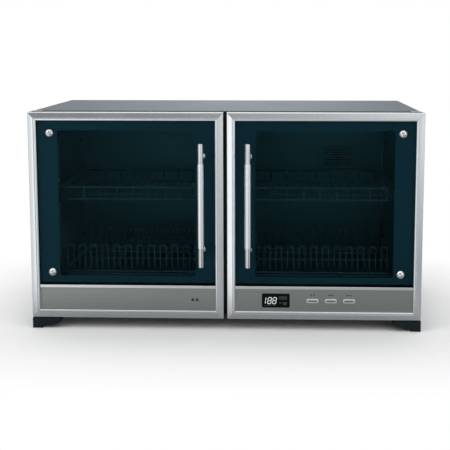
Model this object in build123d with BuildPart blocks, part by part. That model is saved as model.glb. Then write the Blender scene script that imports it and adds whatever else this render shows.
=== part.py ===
from build123d import *
from math import asin, cos, sin
import os

# Two-door dish sterilizer cabinet, in millimetres.
# X runs to the right, the doors face -Y and Z is up. The origin is on the ground,
# under the middle of the whole cabinet, handles included.

os.makedirs("parts", exist_ok=True)

# ---------------------------------------------------------------- overall sizes
cabinet_width = 800.0  # across both closed doors
cabinet_height = 450.0  # ground to the top panel
body_inset = 4.0  # side of the wrapped body, in from the doors' outer edge
body_depth = 330.0  # front frame to the rear edge of the wrap
sheet = 1.0  # steel sheet of the wrap, pan, back and liners
fit_gap = 0.3  # clearance between parts that seat on each other
weld = 0.4  # how far welded wires sink into each other

# ---------------------------------------------------------------- doors
door_gap = 7.0  # between the two closed doors
door_end_gap = 0.4  # door end to hinge plate
door_standoff = 6.0  # back of a closed door to the front frame
frame_face = 16.5  # width of the aluminium frame seen from the front
frame_depth = 24.0
frame_wall = 2.0
frame_edge = 1.6  # rounding of the outer edge
brow_width = 11.0  # the curved face from the outer edge to its crest
brow_drop = 2.0  # outer edge behind the crest
brow_bow = 0.3  # middle of the curved face in front of a straight slope
bead_groove = 1.2  # groove between the crest and the bead beside the glass
bead_crown = 0.5  # front of the bead
bead_end_drop = 1.8  # where the bead ends
glass_front = 6.0  # front of the glass behind the front of the frame
glass_thickness = 4.0
glass_bite = 6.0  # how far the glass sits in the frame's groove
mitre_gap = 0.1
trim_height = 6.3  # bar between the glass and the lower panel
trim_web = 2.0
trim_proud = 2.0  # trim bar in front of the glass
lower_panel_height = 46.0
lower_panel_sheet = 2.0
inner_panel_wall = 2.0
inner_window_side = 34.0  # inner panel's window inside the glass in sight, left and right
inner_window_margin = 3.0  # inner panel's window inside the chamber opening, above and below
gasket_width = 8.0
gasket_clear = 4.0  # gasket to the chamber opening

# ---------------------------------------------------------------- door fittings
handle_reach = 38.0  # front of the handle in front of the door
handle_length = 250.0
handle_tube_d = 13.0
handle_tube_wall = 1.2
handle_end_length = 40.0
handle_end_d = 11.0
handle_post_d = 9.0
handle_post_pitch = 192.0
handle_inset = 47.0  # cabinet centre to the handle
handle_drop = 184.4  # door's top to the middle of the handle
rosette_d = 14.5
rosette_height = 2.5
spigot_d = 7.0  # through the glass
stud_d = 17.0
stud_height = 5.5
stud_rim = 0.8
stud_spigot_d = 6.0
stud_inset = 26.0  # from both edges of the glass in sight
keeper_width = 12.0
keeper_height = 40.0
keeper_sheet = 1.0

# ---------------------------------------------------------------- hinges
hinge_sheet = 1.2
hinge_pin_d = 6.0
hinge_pin_length = 13.0
hinge_running = 0.05  # radial, pin in its bush
hinge_axis_in = 8.25  # from the door's outer edge
hinge_axis_back = 17.0  # from the door's front
hinge_block_clear = 0.2
hinge_plate_width = 22.0
hinge_screw_in = 6.0  # from the plate's inner edge
hinge_flange_height = 24.0
hinge_tail = 44.0  # lower plate under the body

# ---------------------------------------------------------------- controls
control_rise = 22.2  # lower panel's bottom edge to the controls
display_x = 103.5
display_width = 57.0
display_height = 29.5
display_proud = 0.6
display_flange = 2.5
button_first_x = 178.5
button_pitch = 37.4
button_count = 3
button_width = 24.0
button_height = 8.2
button_proud = 2.0
button_travel = 1.0
button_clear = 0.3
button_flange = 1.5
button_stem = 4.0
lamp_d = 6.0
lamp_first_x = 67.5
lamp_pitch = 9.0
lamp_count = 2
lamp_proud = 0.8
board_thickness = 1.6
board_height = 34.0
board_end = 14.0  # board past the outer buttons and the display

# ---------------------------------------------------------------- body shell
wrap_corner = 4.0
back_recess = 3.0  # back panel inside the wrap's rear edge
back_flange = 12.0
front_frame_sheet = 1.5
front_frame_flange = 10.0
pan_wall_height = 14.0
side_wall = 36.0  # body side to the chamber
mullion_width = 60.0  # between the two chambers
base_height = 70.0  # body floor to the chamber floor
roof_space = 26.0  # cabinet top to the chamber roof
rear_space = 34.0  # chamber to the back panel
chamber_corner = 10.0
liner_flange = 9.0
blanket_gap = 1.5
screw_head_d = 7.0
screw_head_height = 2.0
screw_d = 3.0
screw_length = 7.0
screw_hole_d = 3.6
screw_column_inset = 60.0  # from the body's sides, along the top
screw_row_inset = 80.0  # from the body's floor and top, down the sides

# ---------------------------------------------------------------- feet
foot_height = 21.0
foot_width = 56.0
foot_pad_width = 20.0
foot_pad_step = 5.3
foot_screw_in = 13.0
foot_screw_depth = 16.0
foot_tip = 12.2  # thickness at the end of the left foot's blunt wing
foot_tip_radius = 7.5
foot_toe = 7.8  # thickness at the end of the right foot's curved wing
foot_toe_bow = 2.5  # middle of its curve below a straight line
foot_front_inset = 1.0
foot_rear_reach = 46.0  # under the body
rear_foot_d = 34.0
rear_foot_inset = 30.0

# ---------------------------------------------------------------- ladders and racks
ladder_wire = 4.0
ladder_standoff = 8.0  # chamber wall to the ladder's wires
ladder_inset = 24.0  # from the chamber's front and back
ladder_top_gap = 30.0
ladder_bend = 12.0
rail_wire = 5.0
peg_d = 7.0
rack_wire = 4.0
rim_wire = 4.5
upright_wire = 3.2
floor_wire = 3.0
rack_setback = 12.0  # rack behind the front frame
rack_rear_gap = 32.0  # rack to the chamber's rear wall
rack_corner = 12.0
rack_runner_inset = 1.0
rack_lift = 0.2
basket_level = 172.0  # basket's lower wire over the chamber floor
basket_height = 25.0
basket_uprights = 9
basket_side_uprights = 5
basket_cross_count = 3
basket_upright_inset = 10.0  # side wires from the rack's straight sides' ends
basket_cross_inset = 28.0
plate_rack_level = 12.0
plate_row_count = 2
plate_row_inset = 12.0  # front row, from the rack's front wire
plate_row_rear_inset = 62.0  # rear row, from the rack's rear wire
plate_pin_margin = 15.0  # least distance from the rack's side to its hairpins
plate_pin_pitch = 24.5
plate_pin_width = 12.5
plate_pin_height = 54.0
plate_pin_bend = 4.0
plate_run_count = 5

# ---------------------------------------------------------------- inner fittings
heater_length = 190.0
heater_tube_d = 10.0
heater_cap_d = 12.0
heater_cap_length = 14.0
heater_from_mid = 35.0  # from the middle of the left chamber, towards the right
heater_rise = 18.8  # chamber floor to the lower tube
heater_pitch = 28.0
heater_from_wall = 12.0
guard_wire = 3.0
guard_depth = 22.0
guard_wire_count = 3
guard_cheek = 1.2
ozone_length = 145.0
ozone_height = 54.0
ozone_rise = 77.8  # chamber floor to the outlet's middle
ozone_cover_depth = 4.2
ozone_slot_count = 6
ozone_box_depth = 26.0
grille_width = 86.0
grille_height = 53.0
grille_from_mid = 54.0  # from the middle of the right chamber
grille_from_roof = 106.0
grille_depth = 4.0
grille_slot_count = 7
cover_lip = 6.0  # louvred covers overlap their cut-outs by this
fan_size = 60.0
fan_depth = 20.0
fan_bore = 54.0
fan_hub_d = 22.0
fan_tip_clear = 1.0
fan_blades = 5
fan_blade_pitch = 38.0
fan_spindle_d = 3.0
probe_d = 5.0
probe_length = 26.0
probe_nut = 11.0
probe_from_wall = 15.0
probe_rise = 47.8
power_board_from_side = 246.0  # body's right side to the board's middle
power_board_length = 150.0
power_board_width = 96.0
power_board_from_back = 110.0  # body's rear edge to the board's middle
pillar_height = 8.0
gland_d = 16.0
gland_bore = 8.0
gland_flange_d = 23.0
gland_from_side = 96.0
gland_rise = 35.8  # body floor to the gland

# ---------------------------------------------------------------- derived places
total_depth = handle_reach + frame_depth + door_standoff + body_depth
door_front_y = -total_depth / 2 + handle_reach
door_back_y = door_front_y + frame_depth
body_front_y = door_back_y + door_standoff
body_back_y = body_front_y + body_depth
back_panel_y = body_back_y - back_recess  # outer face of the back panel

body_floor_z = foot_height + hinge_sheet
body_top_z = cabinet_height
door_bottom_z = body_floor_z + door_end_gap
door_top_z = body_top_z - hinge_sheet - door_end_gap
door_outer_x = cabinet_width / 2
body_width = cabinet_width - 2 * body_inset
door_inner_x = door_gap / 2
door_mid_x = (door_outer_x + door_inner_x) / 2

glass_y = door_front_y + glass_front
glass_back_y = glass_y + glass_thickness
sight_outer_x = door_outer_x - frame_face
sight_inner_x = door_inner_x + frame_face
sight_top_z = door_top_z - frame_face
panel_bottom_z = door_bottom_z + frame_face
panel_top_z = panel_bottom_z + lower_panel_height
sight_bottom_z = panel_top_z + trim_height
handle_centre_z = door_top_z - handle_drop
control_z = panel_bottom_z + control_rise
inner_window_width = sight_outer_x - sight_inner_x - 2 * inner_window_side
inner_panel_y = glass_back_y + fit_gap

chamber_outer_x = body_width / 2 - side_wall
chamber_inner_x = mullion_width / 2
chamber_mid_x = (chamber_outer_x + chamber_inner_x) / 2
chamber_width = chamber_outer_x - chamber_inner_x
chamber_floor_z = body_floor_z + base_height
chamber_top_z = body_top_z - roof_space
chamber_height = chamber_top_z - chamber_floor_z
chamber_mid_z = (chamber_top_z + chamber_floor_z) / 2
chamber_front_y = body_front_y + front_frame_sheet
chamber_back_y = back_panel_y - sheet - rear_space
shell_half_x = body_width / 2 - sheet - fit_gap  # what fits inside the wrap
shell_top_z = body_top_z - sheet - fit_gap

hinge_x = door_outer_x - hinge_axis_in
hinge_y = door_front_y + hinge_axis_back

ladder_front_y = chamber_front_y + ladder_inset
ladder_back_y = chamber_back_y - ladder_inset
rail_shift = ladder_wire / 2 + rail_wire / 2 - weld
rack_half = chamber_width / 2 - ladder_standoff - rail_shift - rack_runner_inset
rack_front_y = body_front_y + rack_setback
rack_back_y = chamber_back_y - rack_rear_gap
plate_pins = int((2 * rack_half - 2 * plate_pin_margin) / plate_pin_pitch) + 1
basket_z = chamber_floor_z + basket_level
plate_rack_z = chamber_floor_z + plate_rack_level
rail_drop = rack_wire / 2 + rail_wire / 2 + rack_lift

heater_x = heater_from_mid - chamber_mid_x
heater_low_z = chamber_floor_z + heater_rise
ozone_z = chamber_floor_z + ozone_rise
grille_x = chamber_mid_x + grille_from_mid
grille_z = chamber_top_z - grille_from_roof
probe_x = probe_from_wall - chamber_outer_x
probe_z = chamber_floor_z + probe_rise
power_board_x = body_width / 2 - power_board_from_side
gland_x = body_width / 2 - gland_from_side
gland_z = body_floor_z + gland_rise

sides = (("left", -1), ("right", 1))


# ---------------------------------------------------------------- shared shapes
def keep(piece, name):
    """Label a finished piece and write it to its own file."""
    piece.part.label = name
    export_step(piece.part, f"parts/{name}.step")


def front_plane(y):
    """A plane that faces the front at depth y, with X to the right and Z up."""
    return Plane.XZ.offset(-y)


def block(x, y, z, mode=Mode.ADD):
    """A rectangular block between two x, two y and two z values."""
    middle = (sum(x) / 2, sum(y) / 2, sum(z) / 2)
    with Locations(middle):
        Box(abs(x[1] - x[0]), abs(y[1] - y[0]), abs(z[1] - z[0]), mode=mode)


def rod(start, end, diameter, mode=Mode.ADD):
    """A straight round rod from one point to another."""
    axis = Vector(*end) - Vector(*start)
    with BuildSketch(Plane(origin=start, z_dir=axis)) as profile:
        Circle(diameter / 2)
    extrude(profile.sketch, amount=axis.length, mode=mode)


def bent_rod(points, diameter, bend, close=False):
    """A round wire bent with one radius through the points."""
    with BuildLine() as run:
        FilletPolyline(*points, radius=bend, close=close)
    with BuildSketch(Plane(origin=run.line @ 0, z_dir=run.line % 0)) as profile:
        Circle(diameter / 2)
    sweep(profile.sketch, path=run.line)


def steps(first, last, count):
    """Evenly spaced values from first to last."""
    return [first + (last - first) * i / (count - 1) for i in range(count)]


# ---------------------------------------------------------------- body shell
rear_flange_y = back_panel_y - sheet - fit_gap
screw_column_reach = body_width / 2 - screw_column_inset
screw_columns = steps(-screw_column_reach, screw_column_reach, 4)
screw_rows = steps(body_floor_z + screw_row_inset, body_top_z - screw_row_inset, 2)
screw_line_x = body_width / 2 - sheet - back_flange / 2
screw_line_z = body_top_z - sheet - back_flange / 2
back_screws = [(x, screw_line_z) for x in screw_columns]
back_screws += [(side * screw_line_x, z) for side in (-1, 1) for z in screw_rows]

# Top and both sides: one sheet bent over, with a flange turned in at the rear.
with BuildPart() as outer_wrap:
    with BuildSketch(front_plane(body_back_y)):
        with Locations((0, (body_top_z + body_floor_z) / 2)):
            bent = Rectangle(body_width, body_top_z - body_floor_z)
        fillet(bent.vertices().group_by(Axis.Y)[-1], wrap_corner)
        with Locations((0, (shell_top_z + fit_gap + body_floor_z) / 2 - sheet)):
            Rectangle(
                body_width - 2 * sheet,
                shell_top_z + fit_gap - body_floor_z + 2 * sheet,
                mode=Mode.SUBTRACT,
            )
    extrude(amount=body_depth)
    with BuildSketch(front_plane(rear_flange_y)):
        with Locations((0, (body_top_z + body_floor_z) / 2 - sheet / 2)):
            Rectangle(body_width - sheet, body_top_z - body_floor_z - sheet)
        with Locations((0, (body_top_z + body_floor_z) / 2 - back_flange)):
            Rectangle(
                body_width - 2 * sheet - 2 * back_flange,
                body_top_z - body_floor_z,
                mode=Mode.SUBTRACT,
            )
        with Locations(*back_screws):
            Circle(screw_hole_d / 2, mode=Mode.SUBTRACT)
    extrude(amount=sheet)
keep(outer_wrap, "outer_wrap")

# Floor of the body: a shallow pressed tray.
pan_front_y = body_front_y + front_frame_sheet + front_frame_flange + fit_gap
pan_back_y = rear_flange_y - sheet - fit_gap
front_foot_screws = [
    (side * (door_outer_x - foot_screw_in), body_front_y + y)
    for side in (-1, 1)
    for y in (18.0, 38.0)
]
rear_foot_x = body_width / 2 - rear_foot_inset
rear_foot_y = body_back_y - rear_foot_inset
rear_foot_screws = [(side * rear_foot_x, rear_foot_y) for side in (-1, 1)]
with BuildPart() as base_pan:
    block(
        (-shell_half_x, shell_half_x),
        (pan_front_y, pan_back_y),
        (body_floor_z, body_floor_z + pan_wall_height),
    )
    top = base_pan.faces().sort_by(Axis.Z)[-1]
    offset(amount=-sheet, openings=top)
    with Locations(*[(x, y, body_floor_z + sheet) for x, y in front_foot_screws + rear_foot_screws]):
        Hole(screw_hole_d / 2, depth=2 * sheet)
keep(base_pan, "base_pan")

# Rear cover, set into the wrap, with two fields of vent slots and the cable hole.
vent_slot = (34.0, 4.0)
vent_fields = ((grille_x, grille_z), (power_board_x, chamber_floor_z - 25))
with BuildPart() as back_panel:
    with BuildSketch(front_plane(back_panel_y)):
        with Locations((0, (body_floor_z + shell_top_z) / 2)):
            RectangleRounded(2 * shell_half_x, shell_top_z - body_floor_z, wrap_corner)
        with Locations(*back_screws):
            Circle(screw_hole_d / 2, mode=Mode.SUBTRACT)
        with Locations((gland_x, gland_z)):
            Circle(gland_d / 2 + fit_gap / 2, mode=Mode.SUBTRACT)
        with Locations(*vent_fields):
            with GridLocations(vent_slot[0] + 8, vent_slot[1] + 5, 2, 4):
                SlotOverall(*vent_slot, mode=Mode.SUBTRACT)
    extrude(amount=sheet)
keep(back_panel, "back_panel")

# Black front frame: one plate with an opening for each chamber and flanges behind it.
plate_outer_x = body_width / 2 - 1
plate_inner_x = plate_outer_x - hinge_plate_width
flange_screws = [
    (side * (plate_inner_x + hinge_screw_in), body_top_z - z)
    for side in (-1, 1)
    for z in (9.0, 19.0)
]
with BuildPart() as front_frame:
    frame_mid_z = (body_floor_z + shell_top_z) / 2
    frame_height = shell_top_z - body_floor_z
    with BuildSketch(front_plane(body_front_y + front_frame_sheet)):
        with Locations((0, frame_mid_z)):
            Rectangle(2 * shell_half_x, frame_height)
        with Locations((-chamber_mid_x, chamber_mid_z), (chamber_mid_x, chamber_mid_z)):
            RectangleRounded(
                chamber_width, chamber_height, chamber_corner, mode=Mode.SUBTRACT
            )
    extrude(amount=front_frame_sheet)
    with BuildSketch(front_plane(body_front_y + front_frame_sheet + front_frame_flange)):
        with Locations((0, frame_mid_z)):
            Rectangle(2 * shell_half_x, frame_height)
            Rectangle(
                2 * (shell_half_x - front_frame_sheet),
                frame_height - 2 * front_frame_sheet,
                mode=Mode.SUBTRACT,
            )
    extrude(amount=front_frame_flange)
    with BuildSketch(front_plane(body_front_y + front_frame_sheet)):
        with Locations(*flange_screws):
            Circle(screw_hole_d / 2)
    extrude(amount=front_frame_sheet, mode=Mode.SUBTRACT)
keep(front_frame, "front_frame")

# Chamber liners: deep-drawn boxes, open to the front, with a flange behind the frame.
ozone_mid_y = (ladder_front_y + ladder_back_y) / 2
for name, side in sides:
    with BuildPart() as liner:
        with BuildSketch(front_plane(chamber_back_y + sheet)):
            with Locations((side * chamber_mid_x, chamber_mid_z)):
                RectangleRounded(
                    chamber_width + 2 * sheet, chamber_height + 2 * sheet, chamber_corner + sheet
                )
        extrude(amount=chamber_back_y + sheet - chamber_front_y)
        mouth = liner.faces().sort_by(Axis.Y)[0]
        offset(amount=-sheet, openings=mouth)
        with BuildSketch(front_plane(chamber_front_y + sheet)):
            with Locations((side * chamber_mid_x, chamber_mid_z)):
                RectangleRounded(
                    chamber_width + 2 * liner_flange,
                    chamber_height + 2 * liner_flange,
                    chamber_corner + liner_flange,
                )
                RectangleRounded(
                    chamber_width, chamber_height, chamber_corner, mode=Mode.SUBTRACT
                )
        extrude(amount=sheet - fit_gap / 2)
        if side > 0:
            # air passage of the fan in the rear wall
            block(
                (grille_x - grille_width / 2 + cover_lip, grille_x + grille_width / 2 - cover_lip),
                (chamber_back_y - sheet, chamber_back_y + 2 * sheet),
                (grille_z - grille_height / 2 + cover_lip, grille_z + grille_height / 2 - cover_lip),
                mode=Mode.SUBTRACT,
            )
        else:
            # ozone outlet in the outer wall, and the hole for the temperature probe
            block(
                (-chamber_outer_x - 2 * sheet, -chamber_outer_x + sheet),
                (
                    ozone_mid_y - ozone_length / 2 + cover_lip,
                    ozone_mid_y + ozone_length / 2 - cover_lip,
                ),
                (ozone_z - ozone_height / 2 + cover_lip, ozone_z + ozone_height / 2 - cover_lip),
                mode=Mode.SUBTRACT,
            )
            rod(
                (probe_x, chamber_back_y - sheet, probe_z),
                (probe_x, chamber_back_y + 2 * sheet, probe_z),
                probe_d + fit_gap,
                mode=Mode.SUBTRACT,
            )
    keep(liner, f"{name}_liner")

# Insulation over and beside the liners, with a pocket for the ozone generator.
with BuildPart() as insulation_blanket:
    blanket_front_y = body_front_y + front_frame_sheet + front_frame_flange + blanket_gap
    blanket_back_y = chamber_back_y
    blanket_bottom_z = body_floor_z + pan_wall_height + blanket_gap
    blanket_out = shell_half_x - blanket_gap
    blanket_in = chamber_outer_x + sheet + fit_gap
    block(
        (-blanket_out, blanket_out),
        (blanket_front_y, blanket_back_y),
        (blanket_bottom_z, shell_top_z - blanket_gap),
    )
    block(
        (-blanket_in, blanket_in),
        (blanket_front_y - 1, blanket_back_y + 1),
        (blanket_bottom_z - 1, chamber_top_z + sheet + fit_gap),
        mode=Mode.SUBTRACT,
    )
    block(
        (-blanket_out - 1, -blanket_in + 1),
        (ozone_mid_y - ozone_length / 2, ozone_mid_y + ozone_length / 2),
        (ozone_z - ozone_height / 2, ozone_z + ozone_height / 2),
        mode=Mode.SUBTRACT,
    )
keep(insulation_blanket, "insulation_blanket")

# ---------------------------------------------------------------- ladders on the chamber walls
ladder_bottom_z = plate_rack_z - rail_drop - rail_wire / 2
ladder_top_z = chamber_top_z - ladder_top_gap
rail_levels = [basket_z - rail_drop, plate_rack_z - rail_drop]
for name, side in sides:
    with BuildPart() as ladders:
        for wall_x, inward in (
            (side * chamber_outer_x, -side),
            (side * chamber_inner_x, side),
        ):
            x = wall_x + inward * ladder_standoff
            loop = [
                (x, ladder_front_y, ladder_top_z),
                (x, ladder_back_y, ladder_top_z),
                (x, ladder_back_y, ladder_bottom_z),
                (x, ladder_front_y, ladder_bottom_z),
            ]
            bent_rod(loop, ladder_wire, ladder_bend, close=True)
            for z in rail_levels:
                rail_x = x + inward * rail_shift
                rod((rail_x, ladder_front_y - 6, z), (rail_x, ladder_back_y + 6, z), rail_wire)
            for y in (ladder_front_y, ladder_back_y):
                for z in (ladder_bottom_z + 3 * ladder_bend, ladder_top_z - 3 * ladder_bend):
                    rod((wall_x + inward * fit_gap / 2, y, z), (x, y, z), peg_d)
    keep(ladders, f"{name}_ladders")

# ---------------------------------------------------------------- sliding racks
rack_arm = rack_corner + 3  # the part of a rack's end that turns round the corner


def rack_end(middle_x, y, backward, level, wire):
    """Front or rear wire of a rack with both corners bent round."""
    left_x = middle_x - rack_half
    right_x = middle_x + rack_half
    arm_y = y + backward * rack_arm
    bent_rod(
        [(left_x, arm_y, level), (left_x, y, level), (right_x, y, level), (right_x, arm_y, level)],
        wire,
        rack_corner,
    )


for name, side in sides:
    middle_x = side * chamber_mid_x
    front_y = rack_front_y + rack_wire / 2
    back_y = rack_back_y - rack_wire / 2
    rim_z = basket_z + basket_height
    upright_span = (basket_z, rim_z)
    cross_z = basket_z + rack_wire + fit_gap / 2
    floor_z = cross_z + rack_wire / 2 + floor_wire / 2 - weld
    inner_shift = rack_wire / 2 + upright_wire / 2 - weld

    # Upper basket: front, rear and side walls of wire, and a wire floor.
    with BuildPart() as basket:
        for y, backward in ((front_y, 1), (back_y, -1)):
            rack_end(middle_x, y, backward, basket_z, rack_wire)
            rack_end(middle_x, y, backward, rim_z, rim_wire)
            upright_y = y + backward * inner_shift
            for dx in steps(-rack_half + rack_arm, rack_half - rack_arm, basket_uprights):
                x = middle_x + dx
                rod((x, upright_y, basket_z), (x, upright_y, rim_z), upright_wire)
        side_y = (front_y + rack_arm + fit_gap / 3, back_y - rack_arm - fit_gap / 3)
        for wall in (-1, 1):
            x = middle_x + wall * rack_half
            rod((x, side_y[0], basket_z), (x, side_y[1], basket_z), rack_wire)
            rod((x, side_y[0], rim_z), (x, side_y[1], rim_z), rim_wire)
            upright_x = x - wall * inner_shift
            for y in steps(
                side_y[0] + basket_upright_inset, side_y[1] - basket_upright_inset, basket_side_uprights
            ):
                rod((upright_x, y, basket_z), (upright_x, y, rim_z), upright_wire)
        for y in steps(
            side_y[0] + basket_cross_inset, side_y[1] - basket_cross_inset, basket_cross_count
        ):
            rod((middle_x - rack_half, y, cross_z), (middle_x + rack_half, y, cross_z), rack_wire)
        floor_reach = inner_shift + upright_wire / 2 + fit_gap
        floor_x = rack_half - rack_arm
        for dx in steps(-floor_x, floor_x, 2 * basket_uprights - 1):
            x = middle_x + dx
            rod((x, front_y + floor_reach, floor_z), (x, back_y - floor_reach, floor_z), floor_wire)
    keep(basket, f"{name}_upper_basket")

    # Plate rack: a low frame with cross bars, and rows of upright hairpin wires on them.
    bar_z = plate_rack_z + rack_wire - weld
    pin_foot_z = bar_z + rack_wire / 2 + fit_gap / 3
    rows_y = steps(
        rack_front_y + plate_row_inset, rack_back_y - plate_row_rear_inset, plate_row_count
    )
    with BuildPart() as plate_rack:
        left_x = middle_x - rack_half
        right_x = middle_x + rack_half
        corners = [
            (left_x, front_y, plate_rack_z),
            (right_x, front_y, plate_rack_z),
            (right_x, back_y, plate_rack_z),
            (left_x, back_y, plate_rack_z),
        ]
        bent_rod(corners, rack_wire, rack_corner, close=True)
        middle_y = (front_y + back_y) / 2
        for y in rows_y + [middle_y]:
            rod((left_x, y, bar_z), (right_x, y, bar_z), rack_wire)
        for dx in steps(-rack_half + 4 * rack_corner, rack_half - 4 * rack_corner, plate_run_count):
            x = middle_x + dx
            rod((x, front_y, plate_rack_z), (x, back_y, plate_rack_z), floor_wire)
        first_pin = -(plate_pins - 1) * plate_pin_pitch / 2
        for y in rows_y:
            for dx in steps(first_pin, -first_pin, plate_pins):
                x = middle_x + dx
                leg = plate_pin_width / 2
                top_z = pin_foot_z + plate_pin_height
                hairpin = [
                    (x - leg, y, pin_foot_z),
                    (x - leg, y, top_z),
                    (x + leg, y, top_z),
                    (x + leg, y, pin_foot_z),
                ]
                bent_rod(hairpin, upright_wire, plate_pin_bend)
    keep(plate_rack, f"{name}_plate_rack")

# ---------------------------------------------------------------- left chamber fittings
# Two quartz heater tubes on the rear wall, held by the cheeks of a wire guard.
heater_y = chamber_back_y - heater_from_wall
heater_rows = [heater_low_z, heater_low_z + heater_pitch]
with BuildPart() as heater_tubes:
    for z in heater_rows:
        half = heater_length / 2
        rod((heater_x - half, heater_y, z), (heater_x + half, heater_y, z), heater_tube_d)
        for end in (-1, 1):
            x = heater_x + end * half
            rod((x, heater_y, z), (x - end * heater_cap_length, heater_y, z), heater_cap_d)
keep(heater_tubes, "heater_tubes")

with BuildPart() as heater_guard:
    guard_front_y = chamber_back_y - guard_depth
    guard_low_z = heater_low_z - heater_pitch / 2
    guard_high_z = heater_rows[1] + heater_pitch / 2
    cheek_x = heater_length / 2 - heater_cap_length / 2
    for end in (-1, 1):
        x = heater_x + end * cheek_x
        block(
            (x - guard_cheek / 2, x + guard_cheek / 2),
            (guard_front_y, chamber_back_y - fit_gap / 2),
            (guard_low_z, guard_high_z),
        )
    for z in heater_rows:
        rod(
            (heater_x - heater_length, heater_y, z),
            (heater_x + heater_length, heater_y, z),
            heater_cap_d + fit_gap,
            mode=Mode.SUBTRACT,
        )
    for z in steps(guard_low_z + guard_wire, guard_high_z - guard_wire, guard_wire_count):
        wire_y = guard_front_y - guard_wire / 2 + weld
        reach = cheek_x + 6
        rod((heater_x - reach, wire_y, z), (heater_x + reach, wire_y, z), guard_wire)
keep(heater_guard, "heater_guard")

# Louvred ozone outlet on the outer wall and the generator behind it.
with BuildPart() as ozone_cover:
    x_face = -chamber_outer_x + fit_gap / 2
    block(
        (x_face, x_face + ozone_cover_depth),
        (ozone_mid_y - ozone_length / 2, ozone_mid_y + ozone_length / 2),
        (ozone_z - ozone_height / 2, ozone_z + ozone_height / 2),
    )
    fillet(ozone_cover.edges().filter_by(Axis.X), 3)
    chamfer(ozone_cover.faces().sort_by(Axis.X)[-1].edges(), 1)
    slot_span = ozone_height - 4 * cover_lip
    for z in steps(ozone_z - slot_span / 2, ozone_z + slot_span / 2, ozone_slot_count):
        block(
            (x_face - 1, x_face + ozone_cover_depth + 1),
            (ozone_mid_y - ozone_length / 2 + 2 * cover_lip, ozone_mid_y + ozone_length / 2 - 2 * cover_lip),
            (z - slot_span / ozone_slot_count / 4, z + slot_span / ozone_slot_count / 4),
            mode=Mode.SUBTRACT,
        )
keep(ozone_cover, "ozone_cover")

with BuildPart() as ozone_generator:
    box_x = -chamber_outer_x - sheet - fit_gap
    half_y = ozone_length / 2 - cover_lip / 2
    half_z = ozone_height / 2 - cover_lip / 2
    block(
        (box_x - ozone_box_depth, box_x),
        (ozone_mid_y - half_y, ozone_mid_y + half_y),
        (ozone_z - half_z, ozone_z + half_z),
    )
    fillet(ozone_generator.edges().filter_by(Axis.X), 2)
keep(ozone_generator, "ozone_generator")

# Temperature probe: a thin rod with a hexagonal nut on each side of the rear wall.
with BuildPart() as temperature_probe:
    with BuildSketch(front_plane(chamber_back_y - fit_gap / 2)):
        with Locations((probe_x, probe_z)):
            RegularPolygon(probe_nut / 2, 6)
    extrude(amount=4)
    with BuildSketch(front_plane(chamber_back_y + sheet + fit_gap / 2 + 4)):
        with Locations((probe_x, probe_z)):
            RegularPolygon(probe_nut / 2, 6)
    extrude(amount=4)
    rod(
        (probe_x, chamber_back_y + sheet + 8, probe_z),
        (probe_x, chamber_back_y - probe_length, probe_z),
        probe_d,
    )
    fillet(temperature_probe.faces().sort_by(Axis.Y)[0].edges(), 1.5)
keep(temperature_probe, "temperature_probe")

# ---------------------------------------------------------------- right chamber fittings
with BuildPart() as fan_grille:
    grille_back_y = chamber_back_y - fit_gap / 2
    block(
        (grille_x - grille_width / 2, grille_x + grille_width / 2),
        (grille_back_y - grille_depth, grille_back_y),
        (grille_z - grille_height / 2, grille_z + grille_height / 2),
    )
    fillet(fan_grille.edges().filter_by(Axis.Y), 3)
    chamfer(fan_grille.faces().sort_by(Axis.Y)[0].edges(), 1.2)
    slot_span = grille_height - 3 * cover_lip
    for z in steps(grille_z - slot_span / 2, grille_z + slot_span / 2, grille_slot_count):
        block(
            (grille_x - grille_width / 2 + 2 * cover_lip, grille_x + grille_width / 2 - 2 * cover_lip),
            (grille_back_y - grille_depth - 1, grille_back_y + 1),
            (z - slot_span / grille_slot_count / 4, z + slot_span / grille_slot_count / 4),
            mode=Mode.SUBTRACT,
        )
keep(fan_grille, "fan_grille")

# Fan: a square housing with a spindle on its motor base, and a bladed rotor.
fan_front_y = chamber_back_y + sheet + fit_gap
fan_back_y = fan_front_y + fan_depth
motor_base = 3.0
with BuildPart() as fan_housing:
    with BuildSketch(front_plane(fan_back_y)):
        with Locations((grille_x, grille_z)):
            RectangleRounded(fan_size, fan_size, 4)
            Circle(fan_bore / 2, mode=Mode.SUBTRACT)
            with GridLocations(fan_size - 10, fan_size - 10, 2, 2):
                Circle(2.1, mode=Mode.SUBTRACT)
    extrude(amount=fan_depth)
    with BuildSketch(front_plane(fan_back_y)):
        with Locations((grille_x, grille_z)):
            Circle(fan_hub_d / 2)
            Rectangle(fan_bore + 2, 4)
            Rectangle(4, fan_bore + 2)
    extrude(amount=motor_base)
    rod(
        (grille_x, fan_back_y - motor_base, grille_z),
        (grille_x, fan_front_y + 6, grille_z),
        fan_spindle_d,
    )
keep(fan_housing, "fan_housing")

with BuildPart() as fan_rotor:
    rotor_back_y = fan_back_y - motor_base - 2 * fit_gap
    rotor_front_y = fan_front_y + 2
    with BuildSketch(front_plane(rotor_back_y)):
        with Locations((grille_x, grille_z)):
            Circle(fan_hub_d / 2)
    extrude(amount=rotor_back_y - rotor_front_y)
    fillet(fan_rotor.faces().sort_by(Axis.Y)[0].edges(), 1.5)
    blade_in = fan_hub_d / 2 - 1
    blade_out = fan_bore / 2 - fan_tip_clear
    blade_mid = (blade_in + blade_out) / 2
    blade_depth = rotor_back_y - rotor_front_y - 2
    fan_face = Plane(
        origin=(grille_x, (rotor_back_y + rotor_front_y) / 2, grille_z), z_dir=(0, -1, 0)
    )
    with Locations(fan_face):
        with PolarLocations(blade_mid, fan_blades):
            Box(blade_out - blade_in - 1, 1.4, blade_depth, rotation=(fan_blade_pitch, 0, 0))
    rod(
        (grille_x, rotor_back_y + 1, grille_z),
        (grille_x, fan_front_y + 5, grille_z),
        fan_spindle_d + 2 * hinge_running,
        mode=Mode.SUBTRACT,
    )
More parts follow.
